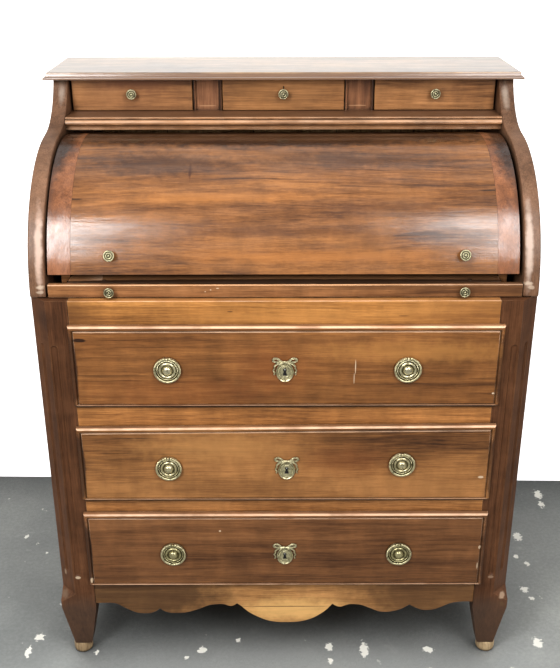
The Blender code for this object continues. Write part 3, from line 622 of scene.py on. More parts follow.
GRADIN_MARKS = marks_at(
    GRADIN_Y,
    ((-0.300, 1.162), (0.110, 0.05, 0.026), tone(96, 52, 34), 0.75, 0.5, 0.1),
    ((-0.315, 1.147), (0.180, 0.05, 0.080), tone(130, 84, 52), 0.35, 0.3, 0.3),
    ((-0.010, 1.147), (0.150, 0.05, 0.080), tone(200, 140, 84), 0.25, 0.3, 0.3),
    ((0.330, 1.158), (0.050, 0.05, 0.020), tone(200, 140, 88), 0.35, 0.6, 0.1),
    ((0.0005, 1.1530), (0.0016, 0.02, 0.0022), SHADOW_AND_GAP_DARK, 1.0, 0.1),
    ((0.0005, 1.1500), (0.0010, 0.02, 0.0030), SHADOW_AND_GAP_DARK, 1.0, 0.1),
)

# The lines between the boards of the back.
BOARD_JOINTS = (-0.262, -0.068, 0.121, 0.297)
BACK_MARKS = tuple(((x, 0.29, 0.7), (0.0013, 0.05, 2.0), SHADOW_AND_GAP_DARK, 0.8, 0.1) for x in BOARD_JOINTS)

LIPPED = dict(edge=PALE_WEAR_AND_HIGHLIGHT, reach=0.006)
# The rails' darkened hollows reach far: painted shade under the drawer lips.
SHADED = dict(edge=PALE_EDGE, reach=0.030, dirt_and_shade=0.95)
VARNISHED = dict(polish=1.0, gloss=0.05, roughness=0.36, coat_ior=1.75)
UPRIGHT = dict(along="z")
RAW = dict(polish=0.0, roughness=0.6, dirt_and_shade=0.4)

# name in M: (name of the material, middle tone, seed, more about it)
WOODS = {
    "drawer_1": ("walnut_drawer_1", (126, 80, 41), 1.3, dict(LIPPED, wear_and_highlight=0.95, marks=DRAWER_1_MARKS)),
    "drawer_2": (
        "walnut_drawer_2", (140, 93, 51), 4.1,
        dict(LIPPED, wear_and_highlight=0.95, figure=0.9, bands=0.5, marks=DRAWER_2_MARKS),
    ),
    "drawer_3": ("walnut_drawer_3", (112, 72, 41), 7.7, dict(LIPPED, wear_and_highlight=0.85, marks=DRAWER_3_MARKS)),
    "frieze": ("walnut_frieze", (160, 106, 53), 2.2, dict(edge=PALE_WEAR_AND_HIGHLIGHT, wear_and_highlight=0.5, marks=FRIEZE_MARKS)),
    "rail_upper": ("walnut_rail_upper", (170, 112, 60), 9.4, dict(SHADED, marks=foot_shadow(0.6200))),
    "rail_lower": ("walnut_rail_lower", (168, 112, 62), 3.8, dict(SHADED, marks=foot_shadow(0.4100))),
    "apron": ("walnut_apron", (170, 120, 70), 5.9, dict(edge=PALE_EDGE, reach=0.022, marks=APRON_MARKS)),
    "lid": (
        "walnut_lid", (132, 84, 44), 6.3,
        dict(VARNISHED, figure=0.7, bands=0.9, streaks=0.8, short=3.0, dirt_and_shade=0.6, marks=LID_MARKS),
    ),
    "cleat": (
        "walnut_cleat", (128, 78, 46), 8.8,
        dict(UPRIGHT, **VARNISHED, coat_rough=0.20, marks=CLEAT_MARKS),
    ),
    "post": (
        "walnut_post", (92, 58, 36), 1.9,
        dict(UPRIGHT, edge=tone(132, 96, 66), bands=0.4, polish=0.06, gloss=0.12, marks=POST_MARKS),
    ),
    "gable": (
        "walnut_gable", (112, 80, 58), 5.2,
        dict(UPRIGHT, edge=tone(150, 108, 80), bands=0.4, marks=GABLE_MARKS),
    ),
    "top": (
        "walnut_top", (158, 124, 88), 2.7,
        dict(edge=PALE_EDGE, polish=1.0, gloss=0.5, coat_ior=1.7, dust=0.5, marks=TOP_MARKS),
    ),
    "shelf": (
        "walnut_shelf", (144, 99, 63), 3.1,
        dict(edge=PALE_WEAR_AND_HIGHLIGHT, wear_and_highlight=0.45, polish=0.3, marks=SHELF_MARKS),
    ),
    "gradin": (
        "walnut_gradin", (150, 102, 61), 7.1,
        dict(edge=PALE_EDGE, figure=0.7, bands=0.9, marks=GRADIN_MARKS),
    ),
    "block": (
        "walnut_block", (126, 82, 53), 6.6,
        dict(UPRIGHT, edge=PALE_EDGE, dirt_and_shade=0.95, marks=BLOCK_MARKS),
    ),
    "slide": ("walnut_slide", (142, 95, 57), 0.7, dict(edge=PALE_WEAR_AND_HIGHLIGHT, wear_and_highlight=0.6, marks=SLIDE_MARKS)),
    "panel": ("walnut_side", (116, 74, 44), 4.6, dict(UPRIGHT, edge=PALE_EDGE)),
    "inner": ("inner_wood", (186, 146, 98), 2.0, RAW),
    "drawer_side": ("drawer_wood", (182, 142, 96), 2.6, dict(RAW, along="y")),
    "back": (
        "back_wood", (172, 134, 92), 3.0,
        dict(UPRIGHT, polish=0.0, roughness=0.7, dirt_and_shade=0.4, figure=0.4, streaks=0.3, marks=BACK_MARKS),
    ),
    "pad": ("pad_wood", (172, 146, 110), 6.0, dict(UPRIGHT, polish=0.0, roughness=0.65, dirt_and_shade=0.7)),
}
M = {key: wood(name, shades(*middle), seed=seed, **more) for key, (name, middle, seed, more) in WOODS.items()}
M |= {
    "brass": brass("old_brass", tone(222, 212, 170), tone(112, 102, 66)),
    "brass_knob": brass("knob_brass", tone(196, 188, 152), tone(84, 76, 52), seed=3.0),
    # The key-plate brass is palest on the top drawer and darkest on the lowest: lit and shaded copies, painted
    # light and shade.
    "brass_1": brass("plate_brass_1", tone(240, 230, 192), tone(130, 118, 78), seed=1.0, roughness=0.26),
    "brass_2": brass("plate_brass_2", tone(226, 214, 172), tone(112, 102, 66), seed=2.0, roughness=0.28),
    "brass_3": brass("plate_brass_3", tone(200, 190, 144), tone(92, 84, 54), seed=4.0),
    "brass_dirt_and_shade": brass("brass_dirt_and_shade", tone(88, 80, 56), tone(44, 38, 24), seed=5.0, roughness=0.45),
    "void": plain("keyhole_shade_black", tone(14, 11, 9), 0.8),
    "steel": plain("lock_steel", tone(180, 178, 170), 0.3),
}

# ---- wood pieces that follow the CAD ------------------------------------------------------------------
# (material, width of the rounded arris, nodes)
for material, width, nodes in (
    ("frieze", 0, ("frieze_rail",)),
    ("rail_upper", 0.0007, ("drawer_rail_upper",)),
    ("rail_lower", 0.0007, ("drawer_rail_lower",)),
    ("lid", 0, ("lid_panel",)),
    ("cleat", 0, ("lid_end_left", "lid_end_right")),
    ("gable", 0.0030, ("gable_left", "gable_right")),
    ("block", 0, ("gradin_divider_left", "gradin_divider_right")),
    ("gradin", 0, ("small_drawer_left", "small_drawer_centre", "small_drawer_right")),
    ("slide", 0.0006, ("writing_slide",)),
    ("slide", 0, ("slide_front",)),
    ("slide", 0.0005, ("pigeonholes",)),
    ("panel", 0, ("side_panel_left", "side_panel_right")),
    ("post", 0, ("post_rear_left", "post_rear_right")),
    ("inner", 0.0005, ("case_bottom", "deck_board")),
    ("drawer_side", 0.0005, ("drawer_box_1", "drawer_box_2", "drawer_box_3")),
    ("back", 0.0005, ("back_panel",)),
):
    for node in nodes:
        refined(node, M[material], width)


# ---- front posts --------------------------------------------------------------------------------------
POST, FOOT, FOOT_X = 0.0725, 0.036, 0.436
CANT = 0.032  # the canted corner, measured along either face
STOP_Z = 0.155  # where the lamb's-tongue stop begins
FLUTE_ENDS = (0.2255, 0.7380)


def front_post(label, side):
    """A canted, fluted post down to a tapered foot, all one piece."""
    low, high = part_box(f"post_front_{label}")
    outer = high.x if side > 0 else -low.x
    inner = outer - POST
    front = low.y

    def ring(z, chamfer, x0=inner, x1=outer, y0=front, y1=front + POST):
        points = ((x0, y1), (x1, y1), (x1, y0 + chamfer), (x1 - chamfer, y0), (x0, y0))
        return [(side * x, y, z) for x, y in points]

    rings = [ring(low.z, 0.001, FOOT_X - FOOT / 2, FOOT_X + FOOT / 2, front + 0.020, front + 0.020 + FOOT)]
    rings += [ring(0.136, 0.002), ring(STOP_Z, 0.002)]
    for k in range(1, 9):
        t = k / 8
        rings.append(ring(STOP_Z + 0.018 * t, 0.002 + 0.030 * t**0.8))
    rings.append(ring(high.z, CANT))
    obj = new_piece(f"fine_post_front_{label}", loft(rings), M["post"], 30)
    for where, x, y, radius in (
        ("face", outer - 0.0412, front - 0.0045, 0.0080),
        ("cant", outer - CANT / 2 + 0.0021, front + CANT / 2 - 0.0021, 0.0065),
    ):
        # A flute is cut by a rod with round ends.
        stops = []
        for z, turn in zip(FLUTE_ENDS, (-1, 1)):
            lifts = [88 - 11 * k for k in range(9)] if turn < 0 else [11 * k for k in range(9)]
            for lift in lifts:
                r = radius * math.cos(math.radians(lift))
                height = z + turn * radius * math.sin(math.radians(lift))
                angles = [2 * math.pi * k / 32 for k in range(32)]
                stops.append([(side * x + r * math.cos(a), y + r * math.sin(a), height) for a in angles])
        cutter = new_piece(f"cutter_{where}_{label}", loft(stops), M["post"])
        modifier = obj.modifiers.new(where, "BOOLEAN")
        modifier.operation = "DIFFERENCE"
        modifier.solver = "EXACT"
        modifier.object = cutter
        bpy.context.view_layer.update()
        shape = bpy.data.meshes.new_from_object(obj.evaluated_get(bpy.context.evaluated_depsgraph_get()))
        obj.modifiers.clear()
        obj.data = shape
        bpy.data.objects.remove(cutter)
    obj.data.set_sharp_from_angle(angle=math.radians(30))
    round_arrises(obj, 0.0012, 30)
    return stands_for(obj, f"post_front_{label}")


for label, side in SIDES:
    front_post(label, side)


# ---- mouldings ----------------------------------------------------------------------------------------
def arc(centre, radii, start, end, steps):
    """Points on an ellipse, from one angle to another in degrees."""
    angles = [math.radians(start + (end - start) * k / steps) for k in range(steps + 1)]
    return [(centre[0] + radii[0] * math.cos(a), centre[1] + radii[1] * math.sin(a)) for a in angles]


def top_board():
    """The overhanging top: a thin fillet, an ovolo, and a flat top with a soft edge."""
    low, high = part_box("top_board")
    # (inset from the edge, height over the underside)
    profile = [(0.0006, 0), (0.0001, 0.0003), (0, 0.0010), (0, 0.0034), (0.0004, 0.0040), (0.0014, 0.0043)]
    profile += arc((0.0014, 0.0088), (0.0040, 0.0045), -90, -10, 8)
    profile += [(0.0056, 0.0092), (0.0060, 0.0098)]
    profile += arc((0.0086, 0.0110), (0.0026, 0.0030), 180, 95, 6)
    profile += [(0.0096, high.z - low.z)]
    rings = []
    for inset, lift in profile:
        x, y = high.x - inset, low.y + inset
        z = low.z + lift
        rings.append([(-x, y, z), (x, y, z), (x, high.y, z), (-x, high.y, z)])
    return stands_for(new_piece("fine_top_board", loft(rings), M["top"], 40), "top_board")


def gradin_shelf():
    """The cornice over the lid: a bead, an ovolo and a cove."""
    low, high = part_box("gradin_shelf")
    top = high.z
    front = low.y
    profile = [(high.y, low.z), (high.y, top), (front + 0.0080, top)]
    bead = ((7.2, 0.2), (6.6, 1.0), (6.6, 2.8), (7.2, 3.4), (8.6, 3.8), (8.6, 4.6))
    cove = ((1.2, 13.6), (3.0, 14.8), (6.2, 15.8), (8.4, 17.4), (9.0, 19.4), (9.0, 20.8), (7.8, 21.6))
    profile += [(front + back * MM, top - down * MM) for back, down in bead]
    profile += arc((front + 0.0076, top - 0.0112), (0.0076, 0.0064), 90, 190, 10)
    profile += [(front + back * MM, top - down * MM) for back, down in cove]
    profile.append((front + 0.0078, low.z))
    rings = [[(x, y, z) for y, z in profile] for x in (low.x, high.x)]
    return stands_for(new_piece("fine_gradin_shelf", loft(rings), M["shelf"], 32), "gradin_shelf")


LIP_BACK = -0.2763  # where a lip's back clears the case


def drawer_front(number):
    """A lipped front: a thumbnail nose, a groove, a thin bead and the raised field."""
    node = f"drawer_front_{number}"
    low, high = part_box(node)
    lip = LIP_BACK
    # (inset, extra inset at the foot, forward of the lip's back)
    nose = [(0.0, 0.0, 0.0), (0.0, 0.0, 0.0058)]
    for k in range(1, 10):
        a = math.radians(10 * k)
        nose.append((0.0062 * (1 - math.cos(a)), 0.0020 * (1 - math.cos(a)), 0.0058 + 0.0062 * math.sin(a)))
    groove = (
        (7.0, 2.4, 11.9), (8.0, 2.8, 11.2), (8.8, 3.1, 10.0), (9.4, 3.5, 7.8), (10.0, 3.7, 6.8),
        (10.8, 4.0, 6.6), (11.4, 4.1, 7.0), (12.0, 4.3, 8.2), (12.6, 4.5, 8.8), (13.4, 4.8, 9.0), (16.0, 6.0, 9.2),
    )
    nose += [tuple(value * MM for value in row) for row in groove]
    # The second drawer's top edge is lower at its left end.
    sag = 0.0055 if number == 2 else 0.0
    rings = []
    for inset, foot, out in nose:
        x0, x1, z0, z1 = low.x + 0.8 * inset, high.x - 0.8 * inset, low.z + foot, high.z - inset
        y = lip - out
        rings.append([(x0, y, z0), (x1, y, z0), (x1, y, z1), (x0, y, z1 - sag)])
    x, z0, z1 = 0.3962, low.z + 0.0112, high.z - sag - 0.0112
    back = [[(-x, y, z0), (x, y, z0), (x, y, z1), (-x, y, z1)] for y in (high.y, lip)]
    obj = new_piece(f"fine_{node}", loft(back + rings), M[f"drawer_{number}"], 32)
    return stands_for(obj, node)


top_board()
gradin_shelf()
for number in (1, 2, 3):
    drawer_front(number)


def apron():
    """The scalloped apron: lobes that meet in cusps, drawn from the left to the right."""
    low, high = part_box("apron")
    lobes = (
        ((low.x, 0.1480), (-0.3580, 0.1476), (-0.3367, 0.1357), (-0.3156, 0.1240), (-0.2990, 0.1208),
         (-0.2838, 0.1214), (-0.2712, 0.1266), (-0.2627, 0.1335)),
        ((-0.2627, 0.1335), (-0.2540, 0.1266), (-0.2430, 0.1222), (-0.2309, 0.1212), (-0.2130, 0.1222),
         (-0.1992, 0.1253), (-0.1780, 0.1332), (-0.1569, 0.1423), (-0.1315, 0.1449), (-0.1160, 0.1402),
         (-0.1075, 0.1412), (-0.0998, 0.1465)),
        ((-0.0998, 0.1465), (-0.0913, 0.1397), (-0.0723, 0.1214), (-0.0405, 0.1035), (-0.0150, 0.0975),
         (0.0100, 0.0968), (0.0280, 0.0978), (0.0460, 0.1020), (0.0653, 0.1108), (0.0864, 0.1270),
         (0.1012, 0.1449)),
        ((0.1012, 0.1449), (0.1095, 0.1395), (0.1181, 0.1372), (0.1270, 0.1402), (0.1393, 0.1440),
         (0.1605, 0.1423), (0.1816, 0.1332), (0.1985, 0.1253), (0.2120, 0.1236), (0.2250, 0.1245),
         (0.2451, 0.1305), (0.2641, 0.1425)),
        ((0.2641, 0.1425), (0.2768, 0.1344), (0.2900, 0.1290), (0.3022, 0.1279), (0.3160, 0.1300),
         (0.3297, 0.1357), (0.3509, 0.1462), (0.3720, 0.1498), (high.x, 0.1502)),
    )
    edge = []
    for points in lobes:
        edge += smooth_path(points, 5)[:-1]
    edge.append(lobes[-1][-1])
    outline = edge + [(high.x, high.z), (low.x, high.z)]
    board = loft([[(x, y, z) for x, z in outline] for y in (low.y, high.y)])
    obj = new_piece("fine_apron", board, M["apron"], 32)
    round_arrises(obj, 0.0011, 60)
    return stands_for(obj, "apron")


apron()

# ---- turned pads and knobs ------------------------------------------------------------------------------
# From the floor up: radius, height.
PAD = (
    (0.0155, 0.0), (0.0165, 0.0003), (0.0181, 0.0014), (0.0192, 0.0036), (0.0199, 0.0072), (0.0200, 0.0115),
    (0.0199, 0.0165), (0.0196, 0.0205), (0.0190, 0.0236), (0.0180, 0.0252), (0.0170, 0.0257),
)
for where in ("front", "rear"):
    for label, _ in SIDES:
        node = f"foot_pad_{where}_{label}"
        low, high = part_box(node)
        made = turned(PAD, 36)
        made.transform(Matrix.Rotation(math.radians(-90), 4, "X"))
        middle = (low + high) / 2
        bmesh.ops.translate(made, verts=made.verts, vec=(middle.x, middle.y, 0))
        stands_for(new_piece(f"fine_{node}", made, M["pad"], 50), node)

# From base to tip in mm: radius, forward.
KNOB = (
    (5.8, 0.0), (5.8, 0.7), (5.2, 1.1), (4.0, 1.9), (3.3, 3.2),
    (3.2, 5.0), (3.6, 7.0), (4.8, 8.8), (7.0, 10.3),
    (9.4, 11.4), (11.0, 12.4), (11.6, 13.3), (11.55, 14.2), (11.0, 15.0), (10.0, 15.4), (9.1, 15.1),
    (8.6, 14.0), (8.1, 13.2), (7.4, 13.3), (6.9, 14.4), (6.1, 15.2), (5.2, 15.2), (4.5, 14.4), (4.0, 13.2),
    (3.3, 13.2), (2.8, 14.4), (2.0, 15.6), (1.0, 16.0), (0, 16.1),
)


def darken_grooves_dirt_and_shade(piece, profile, steps, level, within=math.inf):
    """Dirt and painted shade on the bands of a turned piece that lie under a level: dirt in the grooves, painted
    shade behind the rim.
    """
    piece.data.materials.append(M["brass_dirt_and_shade"])
    for polygon in piece.data.polygons:
        row = polygon.index // steps
        if row < len(profile) - 1 and profile[row][0] < within:
            if (profile[row][1] + profile[row + 1][1]) / 2 < level:
                polygon.material_index = 1


def knob(node, tilt=0.0, scale=0.90):
    """A turned knob with a ringed face, tilted back where it stands on the lid."""
    low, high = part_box(node)
    steps = 40
    made = turned([(r * MM * scale, f * MM * scale) for r, f in KNOB], steps)
    a = math.radians(tilt)
    # The knob's tip is the foremost point of its box, tilted back from the base.
    half_deep = 0.0082 * scale
    centre = (low + high) / 2
    base = centre + Vector((0, math.cos(a), -math.sin(a))) * half_deep
    moved(made, base, -tilt)
    piece = new_piece(f"fine_{node}", made, M["brass_knob"], 50)
    darken_grooves_dirt_and_shade(piece, KNOB, steps, 14.1)
    return stands_for(piece, node)


for label in ("left", "centre", "right"):
    knob(f"knob_small_{label}")
for label, _ in SIDES:
    knob(f"knob_lid_{label}", 18.8)
    knob(f"knob_slide_{label}", 0, 0.84)


# ---- ring pulls and escutcheons ---------------------------------------------------------------------------
# From the edge to the boss in mm: radius, forward.
ROSETTE = (
    (25.0, 0.0), (25.0, 1.0), (24.6, 1.5), (23.6, 1.7), (21.4, 1.8), (20.9, 2.4), (20.5, 3.5), (19.7, 4.4),
    (18.8, 4.6), (18.1, 4.0), (17.7, 2.9), (17.2, 2.3), (16.8, 2.6), (16.4, 3.8), (15.8, 5.0), (14.9, 5.9),
    (13.9, 6.2), (12.9, 5.8), (12.1, 4.8), (11.4, 3.6), (10.9, 3.0), (10.3, 2.9), (9.6, 3.8), (8.9, 5.4),
    (7.9, 7.3), (6.5, 8.9), (4.8, 9.8), (3.0, 10.2), (1.4, 10.35), (0, 10.4),
)
RING_R = 0.0236


def gadroons(radius, angle):
    """Small radial lobes on the band outside the dark groove."""
    if 0.0176 < radius < 0.0208:
        return 0.00035 * math.cos(44 * angle)
    return 0.0


def rosette(node, x, y, z):
    steps = 176
    made = turned([(r * MM, f * MM) for r, f in ROSETTE], steps, gadroons)
    ball(made, (0, -0.0062, RING_R), 0.0028, 0.9)
    stem = bmesh.ops.create_cube(made, size=1)
    for vert in stem["verts"]:
        vert.co = Vector((vert.co.x * 0.0042, -0.0035 + vert.co.y * 0.0046, RING_R + vert.co.z * 0.0044))
    moved(made, (x, y, z))
    drawer = node.split("_")[1]
    piece = new_piece(f"fine_{node}", made, M[f"brass_{drawer}"], 40)
    darken_grooves_dirt_and_shade(piece, ROSETTE, steps, 3.05, 24)
    stands_for(piece, node)


def ring_pull(node, x, y, z):
    """The beaded ring, with a ball at each end beside the lug."""
    steps = 336
    path = []
    for k in range(steps + 1):
        a = math.radians(98 + 344 * k / steps)
        path.append((x + RING_R * math.cos(a), y, z + RING_R * math.sin(a) - RING_R))

    def section(k):
        bead = 0.00034 * math.cos(2 * math.pi * 66 * k / steps)
        points = []
        for i in range(12):
            a = 2 * math.pi * i / 12
            across = math.cos(a)
            radius = 0.00215 + (bead if across < -0.1 else bead * 0.25)
            points.append((radius * across * 1.06, radius * math.sin(a)))
        return points

    made = sweep(path, section)
    for turn in (-1, 1):
        a = math.radians(90 + turn * 13)
        ball(made, (x + RING_R * math.cos(a) * 1.02, y, z + RING_R * math.sin(a) * 1.02 - RING_R), 0.0030)
    stands_for(new_piece(f"fine_{node}", made, M["brass"], 50), node)


def join_into(made, other):
    """Moves the faces of another bmesh into this one."""
    mesh = bpy.data.meshes.new("joining")
    other.to_mesh(mesh)
    other.free()
    made.from_mesh(mesh)
    bpy.data.meshes.remove(mesh)


# From the plate's edge in to the keyhole, in mm: half width, half height, forward.
PLATE = (
    (16.6, 20.2, 0.0), (16.8, 20.4, 0.8), (16.5, 20.1, 2.0), (15.9, 19.4, 2.6), (15.1, 18.5, 2.4),
    (14.5, 17.8, 1.5), (14.0, 17.2, 1.1), (9.6, 12.6, 1.3), (9.2, 12.2, 2.0), (8.6, 11.4, 2.3),
    (8.0, 10.6, 2.1), (7.4, 9.8, 1.6),
)
# One side of the bow, as (x, z) in mm from the plate's middle: its loop, then its hanging end.
BOW = (
    ((0.5, 20.4), (5.5, 21.6), (11.0, 25.6), (16.5, 28.4), (21.5, 27.4), (22.2, 23.6), (18.0, 21.2),
     (11.5, 20.8), (5.0, 20.2), (0.5, 20.4)),
    ((2.0, 20.0), (9.0, 18.8), (15.0, 16.4), (19.2, 12.6), (19.4, 8.0), (21.6, 3.4), (19.2, -1.0),
     (20.6, -5.4)),
)
# The ribbon's section in mm, across and out: rolled edges and a shallow trough.
RIBBON = (
    (-1.9, -0.5), (-1.9, 0.3), (-1.3, 0.9), (-0.4, 0.45), (0.4, 0.45), (1.3, 0.9), (1.9, 0.3), (1.9, -0.5),
)


def seen_from_middle(outline, c, s):
    """Where a ray from the origin towards (c, s) leaves a closed outline."""
    best = 0.0
    for (x0, z0), (x1, z1) in zip(outline, outline[1:] + outline[:1]):
        dx, dz = x1 - x0, z1 - z0
        cross = c * dz - s * dx
        if abs(cross) < 1e-9:
            continue
        far = (x0 * dz - z0 * dx) / cross
        place = (x0 * s - z0 * c) / cross
        if -1e-6 <= place <= 1 + 1e-6:
            best = max(best, far)
    return (c * best, s * best)


def rides_with(obj, node):
    """The piece moves with a CAD node's body, but stands for nothing."""
    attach(obj, BODY_OF[node])


def escutcheon(node, x, y, z):
    """An oval key plate: a rim, a string of beads, a keyhole, and a ribbon tied in a bow over it."""
    steps = 48
    oval = [(math.cos(2 * math.pi * k / steps), math.sin(2 * math.pi * k / steps)) for k in range(steps)]
    keyhole = []
    for k in range(13):
        a = math.radians(-55 + 290 * k / 12)
        keyhole.append((3.6 * math.cos(a), 4.4 + 3.6 * math.sin(a)))
    keyhole += [(-3.4, -4.0), (-4.4, -7.2), (4.4, -7.2), (3.4, -4.0)]

    made = bmesh.new()
    # The plate is a bridge between the oval and the keyhole, so the hole is a real one.
    hole = [seen_from_middle(keyhole, c, s) for c, s in oval]
    rings = []
    for half_x, half_z, out in PLATE:
        rings.append([(half_x * c, -out, half_z * s) for c, s in oval])
    rings.append([(1.14 * hx, -1.7, 1.12 * hz) for hx, hz in hole])
    rings.append([(hx, -1.3, hz) for hx, hz in hole])
    rings.append([(hx, 0.0, hz) for hx, hz in hole])
    join_into(made, loft(rings, closed=True))
    for k in range(30):
        a = 2 * math.pi * (k + 0.5) / 30
        ball(made, (11.9 * math.cos(a), -1.5, 15.0 * math.sin(a)), 1.25)
    for side in (-1, 1):
        for number, points in enumerate(BOW):
            path = [(side * px, -1.5 - 0.5 * math.sin(k / 3.1 + number), pz)
                    for k, (px, pz) in enumerate(smooth_path(points, 6))]
            last = len(path) - 1

            def section(k):
                taper = 1.0 if number == 0 else 1.0 - 0.35 * k / last
                return [(across * taper, out) for across, out in RIBBON]

            join_into(made, sweep(path, section))
    ball(made, (0, -1.8, 20.6), 3.0, 0.7)
    bmesh.ops.scale(made, verts=made.verts, vec=(MM, MM, MM))
    moved(made, (x, y, z))
    stands_for(new_piece(f"fine_{node}", made, M["brass"], 45), node)

    # Painted shade: a near-black sheet on the wood behind the keyhole stands for the dark of the deep hole.
    wider = [(1.25 * hx * MM + x, 1.2 * hz * MM + z) for hx, hz in hole]
    dark = loft([[(px, y - out, pz) for px, pz in wider] for out in (0.00001, 0.0004)])
    rides_with(new_piece(f"void_{node}", dark, M["void"]), node)
    pin = turned(((0.0012, 0.0), (0.0012, 0.0012), (0.0009, 0.0016), (0, 0.0017)), 16)
    moved(pin, (x, y - 0.0004, z + 0.0052))
    rides_with(new_piece(f"pin_{node}", pin, M["steel"]), node)


FIELD = -0.2858  # the face of a drawer's raised field
PLATE_LOW = 0.0222  # from the middle of a key plate to its lowest point in the CAD
ROSETTE_LOW = 0.0250
for number in (1, 2, 3):
    low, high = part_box(f"escutcheon_{number}")
    escutcheon(f"escutcheon_{number}", (low.x + high.x) / 2, FIELD, low.z + PLATE_LOW)
    for label, _ in SIDES:
        low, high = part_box(f"rosette_{number}_{label}")
        mid_x, mid_z = (low.x + high.x) / 2, low.z + ROSETTE_LOW
        rosette(f"rosette_{number}_{label}", mid_x, FIELD, mid_z)
        ring_pull(f"ring_{number}_{label}", mid_x, FIELD - 0.0047, mid_z + RING_R)

# ---- the floor, and what is around -------------------------------------------------------------------------
camera()


SPLASHES = (
    (-0.546, -0.209, 0.010, 0.012), (-0.560, -0.255, 0.006, 0.016), (-0.410, -0.257, 0.005, 0.006),
    (-0.180, -0.250, 0.009, 0.009), (-0.212, -0.273, 0.005, 0.005), (-0.102, -0.219, 0.005, 0.006),
    (-0.664, 0.171, 0.005, 0.008), (-0.597, 0.103, 0.004, 0.004), (0.604, 0.167, 0.010, 0.016),
    (0.582, 0.082, 0.006, 0.008), (0.603, 0.054, 0.006, 0.008), (0.573, -0.046, 0.010, 0.010),
    (0.582, -0.079, 0.006, 0.006), (0.705, 0.363, 0.010, 0.020), (0.702, 0.314, 0.008, 0.014),
    (0.098, -0.240, 0.008, 0.012), (0.175, -0.250, 0.009, 0.022), (0.315, -0.250, 0.012, 0.009),
    (0.560, -0.230, 0.010, 0.016), (0.100, -0.285, 0.006, 0.008),
)


def concrete():
    """Worn grey paint with pale splashes and scuffs."""
    s = Surface("floor_paint")
    cloud = s.noise(s.place, 2.2, 6, 0.62)
    greys = [(0.30, tone(128, 131, 129)), (0.55, tone(150, 152, 149)), (0.75, tone(166, 168, 163))]
    colour = s.ramp(cloud, greys)
    grit = s.noise(s.scaled(s.place, (120, 120, 1)), 1, 3, 0.7)
    colour = s.shaded(colour, s.span(grit, 0.35, 0.7, 0.90, 1.06))
    chips = s.span(s.noise(s.scaled(s.place, (17, 12, 1), (0.3, 0, 0)), 1, 4, 0.6), 0.690, 0.705)
    colour = s.mix(s.times(chips, 0.85), colour, tone(232, 230, 220))
    scuffs = s.span(s.noise(s.scaled(s.place, (9, 16, 1), (1.7, 0.4, 0)), 1, 5, 0.7), 0.60, 0.72)
    colour = s.mix(s.times(scuffs, 0.30), colour, tone(196, 196, 190))
    # The floor is painted paler in front of the desk: a painted pool of light.
    painted_light_front = s.spot((0.05, -0.34, 0), (0.75, 0.20, 1), 0.3, 0.3, 6)
    colour = s.mix(s.times(painted_light_front, 0.45), colour, tone(188, 190, 187))
    # Painted shade: the floor is darkened in the hollows under the desk and along the wall, and a dark patch under
    # the desk is the desk's painted shadow.
    colour = s.mix(s.times(s.hollows(0.36), 0.85), colour, tone(34, 36, 38))
    under = s.spot((0, 0.16, 0), (0.50, 0.34, 1), 0.1, 0.5, 8)
    colour = s.mix(s.times(under, 0.75), colour, tone(30, 31, 33))
    for x, y, width, depth in SPLASHES:
        colour = s.mix(s.spot((x, y, 0), (width, depth, 1), 1.3, 0.9, 130), colour, tone(240, 238, 228))
    s.set(Base_Color=colour, Roughness=0.6, Specular_IOR_Level=0.2)
    return s.material


def white_wall():
    """White on the side that faces the room; seen from behind, it isn't there."""
    s = Surface("wall_paint")
    paint = s.ramp(s.noise(s.place, 1.2, 3), [(0.3, (0.90, 0.90, 0.89, 1)), (0.7, (0.94, 0.94, 0.93, 1))])
    rays = s.add("ShaderNodeLightPath").outputs
    # The wall is bright to look at, but throws little light and shows grey in polish.
    paint = s.mix(s.times(rays["Is Glossy Ray"], 0.55), paint, (0, 0, 0, 1))
    s.set(
        Base_Color=paint,
        Roughness=0.9,
        Emission_Color=(1, 1, 1, 1),
        Emission_Strength=s.span(rays["Is Camera Ray"], 0, 1, 0.05, 1.0),
    )
    behind = s.add("ShaderNodeNewGeometry").outputs["Backfacing"]
    clear = s.add("ShaderNodeBsdfTransparent").outputs[0]
    both = s.add("ShaderNodeMixShader", {0: behind, 1: s.shader.outputs[0], 2: clear}).outputs[0]
    s.put(s.tree.nodes["Material Output"].inputs["Surface"], both)
    return s.material


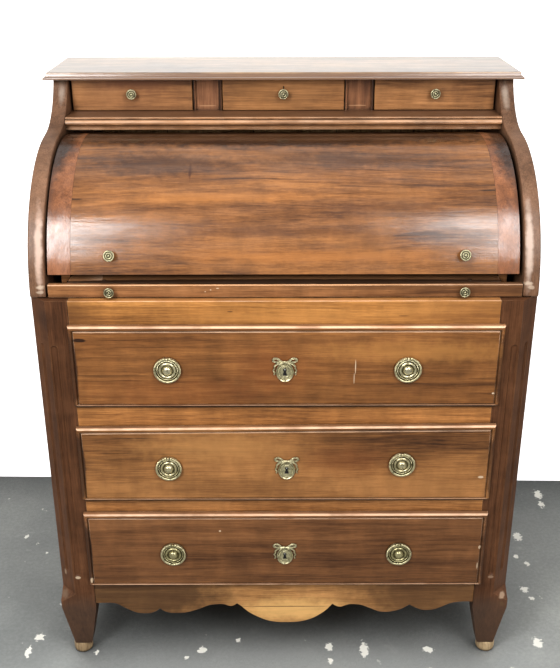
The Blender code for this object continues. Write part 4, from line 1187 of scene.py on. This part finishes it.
def stage():
    """The floor, and a wall behind the desk that runs slightly askew."""
    reach, wall_y, askew, height = 4, 0.4478, 0.073, 2.6
    corners = ((-reach, -reach), (reach, -reach), (reach, 3), (-reach, 3))
    floor = new_piece("floor", loft([[(x, y, z) for x, y in corners] for z in (-0.02, 0.0)]), concrete())
    mesh = bpy.data.meshes.new("wall")
    left, right = (-reach, wall_y + askew), (reach, wall_y - askew)
    mesh.from_pydata([(*left, 0), (*right, 0), (*right, height), (*left, height)], [], [(0, 1, 2, 3)])
    mesh.materials.append(white_wall())
    wall = bpy.data.objects.new("wall", mesh)
    bpy.context.scene.collection.objects.link(wall)


def room():
    """White all round for the camera; for everything else, half as bright in front as behind the desk."""
    world = bpy.data.worlds.new("room")
    bpy.context.scene.world = world
    world.use_nodes = True
    tree = world.node_tree
    coordinate = tree.nodes.new("ShaderNodeTexCoord")
    split = tree.nodes.new("ShaderNodeSeparateXYZ")
    behind = tree.nodes.new("ShaderNodeMapRange")
    for socket, value in (("From Min", -0.25), ("From Max", 0.35), ("To Min", 0.38), ("To Max", 1.0)):
        behind.inputs[socket].default_value = value
    path = tree.nodes.new("ShaderNodeLightPath")
    either = tree.nodes.new("ShaderNodeMath")
    either.operation = "MAXIMUM"
    background = tree.nodes["Background"]
    background.inputs["Color"].default_value = (1, 1, 1, 1)
    tree.links.new(coordinate.outputs["Generated"], split.inputs[0])
    tree.links.new(split.outputs["Y"], behind.inputs["Value"])
    tree.links.new(behind.outputs[0], either.inputs[0])
    tree.links.new(path.outputs["Is Camera Ray"], either.inputs[1])
    tree.links.new(either.outputs[0], background.inputs["Strength"])


stage()
room()
softbox("window_left", (-1.02, -1.75, 2.00), (-0.1, 0, 0.9), (0.58, 1.25), 39)
softbox("window_right", (1.00, -1.75, 2.10), (0.1, 0, 0.9), (0.66, 1.50), 30)
softbox("ceiling", (0, -0.9, 2.9), (0, 0, 0.6), (3.4, 1.2), 18, mirrored=False)

bpy.context.scene.view_settings.view_transform = "Standard"
